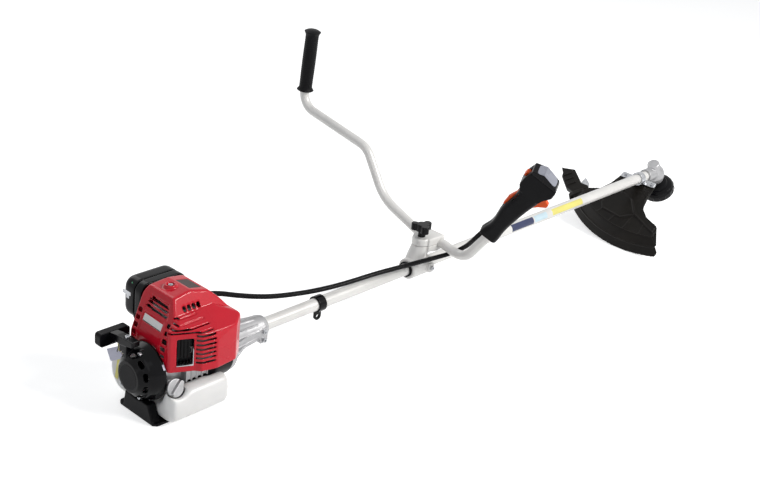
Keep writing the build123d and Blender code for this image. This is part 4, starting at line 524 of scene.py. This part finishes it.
# longer slots in the shoulder
for slot in range(4):
    x = -236 + 11 * slot
    cuts.append(block((x, -60, 121), (x + 6.5, -32, 137)))
cover = combine(cover, cuts, "DIFFERENCE")
boss = [(-8, 13.0), (0, 12.5), (2.5, 11.5), (3.2, 10.5), (3.2, 8.4), (2.4, 7.4), (-2, 7.2), (-8, 7.2)]
collar = lathe("boss", boss, (boss_x, boss_y, roof_z), (0, 0, 1), closed=True)
cover = joined("engine_cover", [cover, collar])
placed(moulded(cover, 1.05, 4, 0.45), "red", "machine", "top_cover")

# bare plate on the roof, and the pale label on the rear face
roof_dir = Vector((40, 0, -9)).normalized()
roof_up = Vector((0, -1, 0)).cross(roof_dir)
plate("roof_plate", Vector((-188, 10, 147.5)) + roof_up * -0.9, roof_dir, (0, 1, 0), 30, 41, 0.5, 3,
      "window", "machine")
rear_out = rear_right.cross(rear_up)
label_at = Vector((-283, 9.5, 60)) + rear_up * 33.5 + rear_out * -1.4
tilt = Matrix.Rotation(math.radians(-2.0), 3, rear_out)
label_right, label_up = tilt @ rear_right, tilt @ rear_up
plate("rear_label", label_at, label_right, label_up, 54, 15, 0.5, 1.2, "label", "machine")
plate("rear_label_edge", label_at + label_up * -6.4 + rear_out * 0.1, label_right, label_up, 53, 1.8, 0.5,
      0.4, "black_gloss", "machine")

# steel lip and dark screen in the exhaust window
window_right = Vector((0.898, -0.439, 0))
window_out = window_right.cross((0, 0, 1))
window_at = Vector((-257, -72, 59))
lip_edge = [(-15.8, -27.8), (15.8, -27.8), (15.8, 6), (14.4, 7), (14.2, -24.6), (2, -25.6), (-15.8, -26.0)]
lip = prism(lip_edge, window_at - window_out * 5, window_right, (0, 0, 1), 6.5, "window_lip")
placed(moulded(lip, 0.5, 2, 0.5), "steel", "machine")
back = [prism(round_points(40, 62, 3), window_at - window_out * 13, window_right, (0, 0, 1), 1.4)]
for k in range(5):
    bar_at = window_at - window_out * 12 + window_right * (6.2 * k - 12.4)
    back.append(prism(round_points(1.6, 56, 0.7, 2), bar_at, window_right, (0, 0, 1), 2.4))
placed(moulded(joined("exhaust_screen", back), 0.6, 2, 0.4), "black_gloss", "machine")

# ------------------------------------------------------------------ recoil starter
starter = work_copy("starter_dome", "starter_case")
cuts = []
for k in range(10):
    a = math.radians(36 * k + 18)
    d = Vector((0, math.cos(a), math.sin(a)))
    turn = Vector((0, -math.sin(a), math.cos(a)))
    cuts.append(prism(round_points(17, 9, 4), Vector((-318, 0, 0)) + d * 38.6, turn,
                      Vector((1, 0, 0)) + d * 0.9, 14))
starter = combine(starter, cuts, "DIFFERENCE")
rim = lathe("rim", [(-330.2, 29.5), (-331, 28.8), (-331, 27), (-330.4, 26.4)], (0, 0, 0), (1, 0, 0), 72)
starter = joined("starter_dome", [starter, rim])
placed(moulded(starter, 0.9, 3, 0.45), "black_gloss", "machine", "starter_case")
starter_face = -331.0
plate("starter_disc", (starter_face, 0, 0), (0, -1, 0), (0, 0, 1), 50, 50, 0.4, 24.9, "black", "machine")
side_dir = Vector((0, -0.87, 0.5)).normalized()
plate("starter_sticker", Vector((-288.5, 0, 0)) + side_dir * 57.9, (1, 0, 0), side_dir.cross((1, 0, 0)),
      4.6, 11, 0.25, 0.5, "tag", "machine")


def socket(k, a):
    """Draws the last row of a screw head in to a six-lobed socket."""
    return 0.86 + 0.14 * abs(math.cos(3 * a)) if k == 4 else 1


screw_profile = [(0, 4.6), (-3.2, 4.6), (-4.1, 4.0), (-4.3, 2.6), (-2.2, 2.2)]
for index, (y, z) in enumerate(((-9, 45), (43, -41), (-10, -45))):
    head = lathe("starter_screw_%d" % (index + 1), screw_profile, (-309.1, y, z), (1, 0, 0), 24, socket)
    placed(head, "steel", "machine")

# ------------------------------------------------------------------ plain mouldings and castings
for node, name, kind, body, voxel, rounds, keep in (
        ("starter_grip", "pull_handle", "black", "starter_pull", 0.8, 6, 0.4),
        ("fan_cover", "fan_shroud", "black", "machine", 1.1, 3, 0.35),
        ("crankcase", "crankcase_casting", "cast", "machine", 1.1, 3, 0.35),
        ("tank_stand", "stand_foot", "black", "machine", 1.1, 5, 0.35),
        ("fuel_cap", "tank_cap_moulding", "black", "tank_cap", 0.7, 4, 0.4),
        ("oil_cap", "oil_cap_moulding", "cast", "oil_filler_cap", 0.6, 3, 0.4),
        ("air_cleaner_case", "cleaner_box", "black_gloss", "machine", 1.3, 20, 0.35),
        ("bracket_cap", "bracket_top", "painted", "machine", 0.7, 5, 0.35),
        ("clamp_knob", "knob_lobes", "black_gloss", "bracket_knob", 0.6, 6, 0.4),
        ("grip_front_half", "grip_front_shell", "black", "handle", 0.75, 4, 0.4),
        ("grip_rear_half", "grip_rear_shell", "black", "handle", 0.75, 4, 0.4),
        ("throttle_trigger", "trigger_lever", "orange", "trigger", 0.5, 5, 0.4),
        ("lockout_lever", "lockout_paddle", "orange", "lockout", 0.5, 4, 0.4),
        ("stop_switch", "stop_button", "orange", "engine_switch", 0.4, 3, 0.4),
        ("gear_case", "gear_casting", "cast", "machine", 0.8, 5, 0.4),
        ("guard_clamp", "clamp_plate", "steel", "machine", 0.6, 4, 0.4),
        ("harness_clamp", "harness_band", "black_gloss", "machine", 0.6, 4, 0.4),
        ("line_spool", "spool_moulding", "black", "bump_spool", 0.6, 2, 0.4),
        ("bump_knob", "bump_button", "black_gloss", "bump_spool", 0.6, 4, 0.4),
        ("muffler", "muffler_box", "dark_steel", "machine", 0.9, 3, 0.4)):
    trim = 0.35 if node in ("clamp_knob", "stop_switch", "line_spool") else 0.0
    placed(moulded(work_copy(name, node), voxel, rounds, keep, trim), kind, body, node)

# ------------------------------------------------------------------ fuel tank, very round but at its neck
tank = moulded(work_copy("tank_shell", "fuel_tank"), 1.5, 20, 1)
cap_lo, cap_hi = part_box("fuel_cap")
neck = from_row @ ((cap_lo + cap_hi) / 2)
soft_part = tank.vertex_groups.new(name="soft")
for v in tank.data.vertices:
    soft_part.add([v.index], min(1.0, max(0.0, ((v.co - neck).length - 22) / 14)), "REPLACE")
rounder = tank.modifiers.new("s", "SMOOTH")
rounder.factor = 0.5
rounder.iterations = 320
rounder.vertex_group = "soft"
fewer = tank.modifiers.new("d", "DECIMATE")
fewer.ratio = 0.25
placed(settled(tank), "tank", "machine", "fuel_tank")


# ------------------------------------------------------------------ grip cap with its pale panels
def facet(node, normal):
    """The corners, in order, of the flat face of a CAD node that looks along a direction."""
    b = bmesh.new()
    b.from_mesh(nodes[node].data)
    b.transform(from_row)
    bmesh.ops.remove_doubles(b, verts=b.verts, dist=0.002)
    b.normal_update()
    away = [f for f in b.faces if f.normal.dot(Vector(normal).normalized()) < 0.995]
    bmesh.ops.delete(b, geom=away, context="FACES")
    follow = {}
    for f in b.faces:
        for loop in f.loops:
            if len(loop.edge.link_faces) == 1:
                follow[loop.vert.index] = loop.link_loop_next.vert.index
    b.verts.ensure_lookup_table()
    first = max(follow, key=lambda i: b.verts[i].co.z)
    out, here = [b.verts[first].co.copy()], follow[first]
    while here != first and len(out) < 500:
        out.append(b.verts[here].co.copy())
        here = follow[here]
    b.free()
    return out


placed(moulded(work_copy("cap_moulding", "grip_cap"), 0.7, 14, 0.4), "black_gloss", "handle", "grip_cap")
main_out = Vector((0.103, -0.765, 0.636)).normalized()
side_out = Vector((-0.228, -0.3, 0.926)).normalized()
main_corners = facet("grip_cap", main_out)
side_corners = facet("grip_cap", side_out)
crease = [p for p in main_corners if min((p - q).length for q in side_corners) < 0.1]
fold = (crease[0] + crease[-1]) / 2
along = (crease[-1] - crease[0]).normalized()
fields = ((main_corners, main_out, 0.9), (side_corners, side_out, 0.62))
for index, (corners, facing, reach_out) in enumerate(fields):
    away = facing.cross(along)
    if (sum(corners, Vector()) / len(corners) - fold).dot(away) < 0:
        away, along = -away, -along
    flat_points = [((p - fold).dot(along) * 0.92, (p - fold).dot(away) * reach_out) for p in corners]
    rounded = []
    for i, (x, y) in enumerate(flat_points):
        if y < 0.3:
            rounded.append(Vector((x, -0.2)))
            continue
        here = Vector((x, y))
        before, after = Vector(flat_points[i - 1]), Vector(flat_points[(i + 1) % len(flat_points)])
        a, c = here.lerp(before, 0.35), here.lerp(after, 0.35)
        rounded += [a.lerp(here, t).lerp(here.lerp(c, t), t) for t in (0, 0.2, 0.4, 0.6, 0.8, 1)]
    outwards = 1 if along.cross(away).dot(facing) > 0 else -1
    panel = prism(rounded, fold - facing, along, away, 1.3 * outwards, "cap_panel_%d" % (index + 1))
    placed(panel, "grey", "handle", flat=True)

# ------------------------------------------------------------------ air cleaner
cleaner = work_copy("cleaner_cover", "air_cleaner_cover")
ring = lathe("ring", [(114.0, 26), (117.2, 25.2), (117.6, 24), (117.6, 21), (117.0, 20), (114.0, 19.4)],
             (-205, 0, 100), (0, 1, 0))
cleaner = joined("cleaner_cover", [cleaner, ring])
placed(moulded(cleaner, 1.3, 60, 0.35), "black_gloss", "cleaner_lid", "air_cleaner_cover")

# ------------------------------------------------------------------ clutch housing with its ribs
housing = work_copy("clutch_bell", "clutch_housing")
ribs = []
for k in range(12):
    a = math.radians(30 * k + 15)
    d = Vector((0, math.cos(a), math.sin(a)))
    ribs.append(prism([(-110, 46), (-92, 42), (-66, 31), (-30, 27.2), (-30, 22), (-110, 36)],
                      d.cross((1, 0, 0)) * 1.1, (1, 0, 0), d, 2.2))
housing = joined("clutch_bell", [housing] + ribs)
placed(moulded(housing, 1.0, 3, 0.4), "cast", "machine", "clutch_housing")

# ------------------------------------------------------------------ throttle cable in its ribbed sleeve
cable_route = [(-196, 47, 90), (-150, 46, 93), (-95, 41, 86), (-32, 34, 62), (36, 21, 44), (112, 11, 33),
               (165, 4, 28.5), (218, -3, 27), (262, -9, 28.5), (304, -15, 30.5), (336, -20, 31.5),
               (368, -25, 31.5), (414, -31, 31), (458, -34, 29), (497, -38, 28), (533, -47, 31),
               (550, -71, 51), (539, -96, 77), (522.46, -120.32, 104.0), (522.46, -143.44, 133.97)]


def route_points(name, points, count):
    """Evenly spaced points along the smooth curve of a route."""
    line = bpy.data.curves.new(name, "CURVE")
    line.dimensions = "3D"
    line.resolution_u = 24
    spline = line.splines.new("NURBS")
    spline.points.add(len(points) - 1)
    for spot, p in zip(spline.points, points):
        spot.co = (*p, 1)
    spline.order_u = 3
    spline.use_endpoint_u = True
    holder = bpy.data.objects.new(name, line)
    scene.collection.objects.link(holder)
    bpy.context.view_layer.update()
    mesh = bpy.data.meshes.new_from_object(holder)
    path = np.array([v.co[:] for v in mesh.vertices])
    bpy.data.objects.remove(holder)
    bpy.data.meshes.remove(mesh)
    run = np.concatenate([[0], np.cumsum(np.linalg.norm(np.diff(path, axis=0), axis=1))])
    even = np.linspace(0, run[-1], count)
    return [Vector([np.interp(e, run, path[:, k]) for k in range(3)]) for e in even]


def tube_along(name, points, radius_at, sides=20):
    """A closed tube round a row of points, with a radius for each ring."""
    b = bmesh.new()
    rows = []
    u = Vector((0, 1, 0.3))
    for i, p in enumerate(points):
        d = (points[min(i + 1, len(points) - 1)] - points[max(i - 1, 0)]).normalized()
        u = (u - d * u.dot(d)).normalized()
        v = d.cross(u)
        angles = [2 * math.pi * k / sides for k in range(sides)]
        rows.append([b.verts.new(p + (u * math.cos(a) + v * math.sin(a)) * radius_at(i, a))
                     for a in angles])
    for i in range(len(rows) - 1):
        for k in range(sides):
            j = (k + 1) % sides
            b.faces.new((rows[i][k], rows[i][j], rows[i + 1][j], rows[i + 1][k]))
    b.faces.new(rows[0][::-1])
    b.faces.new(rows[-1])
    return shaped(name, b)


points = route_points("cable_route", cable_route, 1121)
loom = tube_along("cable_loom", points, lambda i, a: 5.45 if i % 4 in (1, 2) else 4.75, 18)
placed(loom, "black_gloss", None, flat=True)
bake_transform(loom)
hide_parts("throttle_cable")

# ------------------------------------------------------------------ starter rope
rope_lo, rope_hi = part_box("starter_rope")
rope_mid = from_row @ ((rope_lo + rope_hi) / 2)
length = (rope_hi.y - rope_lo.y) * 1000
rope_points = [Vector((rope_mid.x, rope_mid.y + length * (k / 80 - 0.5), rope_mid.z)) for k in range(81)]
rope = tube_along("pull_rope", rope_points, lambda i, a: 1.55 + 0.18 * math.cos(3 * a + i * 0.9), 18)
placed(rope, "black", None)
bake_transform(rope)
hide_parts("starter_rope")

# ------------------------------------------------------------------ left grip
foot = Vector((519, 447.3, 281.0))
grip_run = Vector((519, 436, 431)) - foot
reach = grip_run.length


def grip_radius(s):
    """The left grip's radius at a distance up it: flared ends, a swelling body and shallow rings."""
    flare = 5.2 * math.exp(-(s / 5.5) ** 2) + 4.2 * math.exp(-((reach - s) / 6.5) ** 2)
    return 15.6 + 0.9 * math.sin(math.pi * s / reach) + flare


profile = [(0.2, 12.5), (0.2, 19.0)]
s = 1.2
while s < reach - 1:
    groove = 0.55 if 22 < s < reach - 18 and int(s / 2.6) % 2 else 0.0
    profile.append((s, grip_radius(s) - groove))
    s += 0.65
profile += [(reach - 0.4, grip_radius(reach) - 1.2), (reach + 2.0, 14.0), (reach + 3.4, 8.0),
            (reach + 3.6, 2.0)]
grip = lathe("left_grip_sleeve", profile, foot, grip_run, 56,
             lambda k, a: 1 - 0.012 * max(0, math.cos(6 * a)))
placed(grip, "rubber", "handle", "left_grip")

# ------------------------------------------------------------------ handle bracket
bracket = work_copy("bracket_casting", "handle_bracket")
gusset = [(452, 14), (462, 14), (486, 40), (512, 38), (512, 41), (470, 46), (452, 30)]
gussets = [prism(gusset, (0, y, 0), (1, 0, 0), (0, 0, 1), 2.4) for y in (-12, 12)]
bracket = joined("bracket_casting", [bracket] + gussets)
placed(moulded(bracket, 0.7, 4, 0.4), "painted", "machine", "handle_bracket")
lip_profile = [(-1.1, 14.3), (-1.1, 17.2), (-0.6, 17.9), (0.6, 17.9), (1.1, 17.2), (1.1, 14.3)]
for index, x in enumerate((433.2, 502.8)):
    band = lathe("sleeve_lip_%d" % (index + 1), lip_profile, (x, 0, 0), (1, 0, 0), 48)
    placed(band, "rubber", "machine")

# ------------------------------------------------------------------ guard and cutting head
lean_sin, lean_cos = 0.529919, 0.848048  # of the cutting head's lean, 32 degrees
down = Vector((lean_sin, 0, -lean_cos))
rear = Vector((-lean_cos, 0, -lean_sin))
guard_at = Vector((1425, 0, -12))
arc_rear, arc_left = -120.0, -62.0       # centre of the rim, rearwards and leftwards in the guard's plane
plate_r, band_w, band_drop = 290, 26, 9  # the plate's round edge, and the sloping band outside it


def on_guard(r, l, depth=0.0):
    """A machine place from the guard's own plane: rearwards, leftwards and below it."""
    return guard_at + rear * r + Vector((0, l, 0)) + down * depth


def arc_solid(section, start, end, steps=60):
    """A section of (radius, depth) pairs swept between two angles about the centre of the guard's rim."""
    b = bmesh.new()
    rows = []
    for i in range(steps + 1):
        a = math.radians(start + (end - start) * i / steps)
        rows.append([b.verts.new(on_guard(arc_rear + r * math.cos(a), arc_left + r * math.sin(a), depth))
                     for r, depth in section])
    count = len(section)
    for i in range(steps):
        for k in range(count):
            j = (k + 1) % count
            b.faces.new((rows[i][k], rows[i + 1][k], rows[i + 1][j], rows[i][j]))
    b.faces.new(rows[0])
    b.faces.new(rows[-1][::-1])
    return shaped("tool", b)


def arc_rib(radius, depth, start, end, width, height):
    """A low rib on the guard along an arc about the centre of its rim."""
    half = width / 2
    section = [(radius - half, depth + 0.6), (radius - half + 0.4, depth - height),
               (radius + half - 0.4, depth - height), (radius + half, depth + 0.6)]
    return arc_solid(section, start, end)


def ridge(points, width, height):
    """A low ridge on the guard's plate along a row of spots, with round joints."""
    outlines = []
    spots = [Vector(p) for p in points]
    for p, q in zip(spots, spots[1:]):
        n = Vector((-(q - p).y, (q - p).x)).normalized() * width / 2
        outlines.append([p + n, q + n, q - n, p - n])
    for p in spots:
        outlines.append([p + Vector(c) for c in ring_points(width / 2, 12)])
    return [prism(o, on_guard(0, 0, -height), rear, (0, 1, 0), 0.5 + height) for o in outlines]


def corner_web(outline, thick):
    """A thin web in the guard's plane that slopes down with the band past the plate's edge."""
    b = bmesh.new()
    layers = []
    for under in (0.0, thick):
        layers.append([])
        for r, l in outline:
            out_by = math.hypot(r - arc_rear, l - arc_left)
            drop = max(0.0, out_by - plate_r) * band_drop / band_w
            layers[-1].append(b.verts.new(on_guard(r, l, under + drop)))
    for i in range(len(outline)):
        j = (i + 1) % len(outline)
        b.faces.new((layers[0][i], layers[0][j], layers[1][j], layers[1][i]))
    for layer in layers:
        for i in range(1, len(outline) - 1):
            b.faces.new((layer[0], layer[i], layer[i + 1]))
    return shaped("tool", b)


shield = work_copy("guard_shield", "guard")
end_wall = [(282, 1), (300, 1), (318, 2.5), (330, 8), (331.5, 26), (328, 26), (316, 11.5), (290, 2.6)]
extras = [arc_rib(288.5, 0, -14.5, 40.5, 3.0, 2.0), arc_rib(plate_r + band_w, 8.6, -18, 41, 3.4, 2.4),
          arc_solid(end_wall, 40.5, 43, 6)]
web = [(112, -118), (123.5, -134.5), (146, -148), (172, -163), (182, -150), (152, -118)]
extras.append(corner_web(web, 2.6))
# ridges over the plate, then short ones across its rim
extras += ridge([(107, 53), (129, 38), (137, -24), (111, -56), (133, -106), (143, -130)], 4.2, 3.6)
extras += ridge([(40, 24), (57, 20), (64, -16), (98, -44), (111, -56)], 3.6, 3.4)
extras += ridge([(30, -49), (60, -53), (86, -66), (107, -90), (122, -131)], 3.4, 3.4)
for a in (-8, 2, 12, 22, 32):
    c, s = math.cos(math.radians(a)), math.sin(math.radians(a))
    inner = Vector((arc_rear + 236 * c, arc_left + 236 * s))
    outer = Vector((arc_rear + 288 * c, arc_left + 288 * s))
    n = Vector((-s, c)) * 1.1
    short = [inner + n, inner - n, outer - n, outer + n]
    extras.append(prism(short, on_guard(0, 0, -1.3), rear, (0, 1, 0), 1.9))
shield = moulded(joined("guard_shield", [shield] + extras), 1.05, 0, 1)
# the plate's right tip is cut to a round corner
tip = [(172, -170), (187, -170), (198, -163), (204, -152), (240, -145), (240, -220), (172, -220)]
shield = combine(shield, [prism(tip, on_guard(0, 0, -5), rear, (0, 1, 0), 70)], "DIFFERENCE")
placed(moulded(shield, 1.05, 3, 0.4), "guard", "machine", "guard")

fin = work_copy("guard_fin", "guard_extension")
placed(moulded(fin, 0.8, 3, 0.4), "guard", "machine", "guard_extension")

axis_at = Vector((1500, 0, 0))
head = work_copy("line_head", "trimmer_head")
rim_profile = [(49.0, 30), (48.2, 31.5), (48.2, 34.0), (51.5, 40.5), (52.6, 40), (50.2, 30)]
head = joined("line_head", [head, lathe("rim", rim_profile, axis_at, down, 72)])
placed(moulded(head, 0.8, 3, 0.4), "black_gloss", "output", "trimmer_head")
eyelet_profile = [(45.2, 2.0), (45.2, 4.6), (47.0, 4.9), (47.5, 4.2), (47.5, 2.5), (46.8, 2.0)]
for index, turn in enumerate((20, 200)):
    a = math.radians(turn)
    d = rear * math.cos(a) + Vector((0, math.sin(a), 0))
    ring = lathe("line_eyelet_%d" % (index + 1), eyelet_profile, axis_at + down * 66, d, 32)
    placed(ring, "steel", "output")


# ------------------------------------------------------------------ blank labels on the tube
def tube_label(name, x0, x1, start, end, kind):
    """A thin blank label bent round the tube, between two angles from its top."""
    b = bmesh.new()
    rows = []
    steps = 24
    section = ((x0, 13.95), (x0, 14.12), (x0 + 0.4, 14.18), (x1 - 0.4, 14.18), (x1, 14.12), (x1, 13.95))
    for i in range(steps + 1):
        a = math.radians(start + (end - start) * i / steps)
        d = Vector((0, -math.sin(a), math.cos(a)))
        rows.append([b.verts.new(Vector((x, 0, 0)) + d * r) for x, r in section])
    for i in range(steps):
        for k in range(6):
            j = (k + 1) % 6
            b.faces.new((rows[i][k], rows[i][j], rows[i + 1][j], rows[i + 1][k]))
    b.faces.new(rows[0])
    b.faces.new(rows[-1][::-1])
    placed(shaped(name, b), kind, "machine")


tube_label("tube_label_navy", 815, 904, 22, 100, "navy")
tube_label("tube_label_blue", 909, 962, 22, 92, "pale_blue")
tube_label("tube_label_yellow", 985, 1119, 22, 92, "yellow")

# ------------------------------------------------------------------ clip and dot on the air cleaner
for name, place, turned, size, kind in (
        ("cleaner_clip", (-259.6, 102, 111.5), 0.04, (24, 8, 1.2, 1.5), "steel"),
        ("cleaner_clip_tongue", (-259.6, 99, 104.5), 0, (9, 8, 0.9, 1.2), "steel"),
        ("cleaner_dot", (-260.1, 86, 139), 0, (3.2, 3.2, 0.4, 1.55), "green")):
    plate(name, place, (0, -1, turned), (0, 0, 1), *size, kind, "cleaner_lid")


# ------------------------------------------------------------------ blank hang tag and yellow strip
def ribbon(name, spine, across_dir, width, thick, kind, body):
    """A thin strip that follows a spine of points, facing square to its width."""
    b = bmesh.new()
    u = Vector(across_dir).normalized()
    rows = []
    for i, p in enumerate(spine):
        d = (spine[min(i + 1, len(spine) - 1)] - spine[max(i - 1, 0)]).normalized()
        side = (u - d * u.dot(d)).normalized()
        n = d.cross(side)
        rows.append([b.verts.new(p + side * x * width / 2 + n * y * thick / 2)
                     for x, y in ((-1, -1), (1, -1), (1, 1), (-1, 1))])
    for i in range(len(rows) - 1):
        for k in range(4):
            j = (k + 1) % 4
            b.faces.new((rows[i][k], rows[i][j], rows[i + 1][j], rows[i + 1][k]))
    b.faces.new(rows[0][::-1])
    b.faces.new(rows[-1])
    return placed(shaped(name, b), kind, body, flat=True)


strip_route = [(-313, 58.5, 53), (-306, 63, 40), (-299, 71, 18), (-295, 77, -6), (-294, 82, -32),
               (-293.6, 87, -58)]
strip_points = route_points("strip_route", strip_route, 40)
ribbon("yellow_strip", strip_points, (0, -0.97, -0.2), 9.0, 0.35, "yellow", "machine")
tag_right = Vector((0, -40.3, 25.1)).normalized()
tag_up = Vector((0, 25.1, 40.3)).normalized()
tag_at = Vector((-297.5, 86.5, -1.5))
card = prism(round_points(46, 25, 2.5, 6), tag_at, tag_right, tag_up, 0.5, "hang_tag")
tie_at = tag_at + tag_right * 11 + tag_up * 3
hole = prism(ring_points(2.0, 24), tie_at - tag_right.cross(tag_up) * 2, tag_right, tag_up, 6)
placed(combine(card, [hole], "DIFFERENCE"), "tag", "machine", flat=True)
tie_route = [tie_at + Vector(step) for step in ((1.5, 1, -1.5), (-1.6, 0.5, 0.5), (-4, -8, 12))]
tie_route += [(-306, 62, 38), (-311, 58, 48), (-313, 57, 54.5)]
tie_points = route_points("tie_route", [tuple(p) for p in tie_route], 60)
string = tube_along("tag_string", tie_points, lambda i, a: 0.7 + 0.08 * math.cos(2 * a + i), 10)
placed(string, "black", "machine")
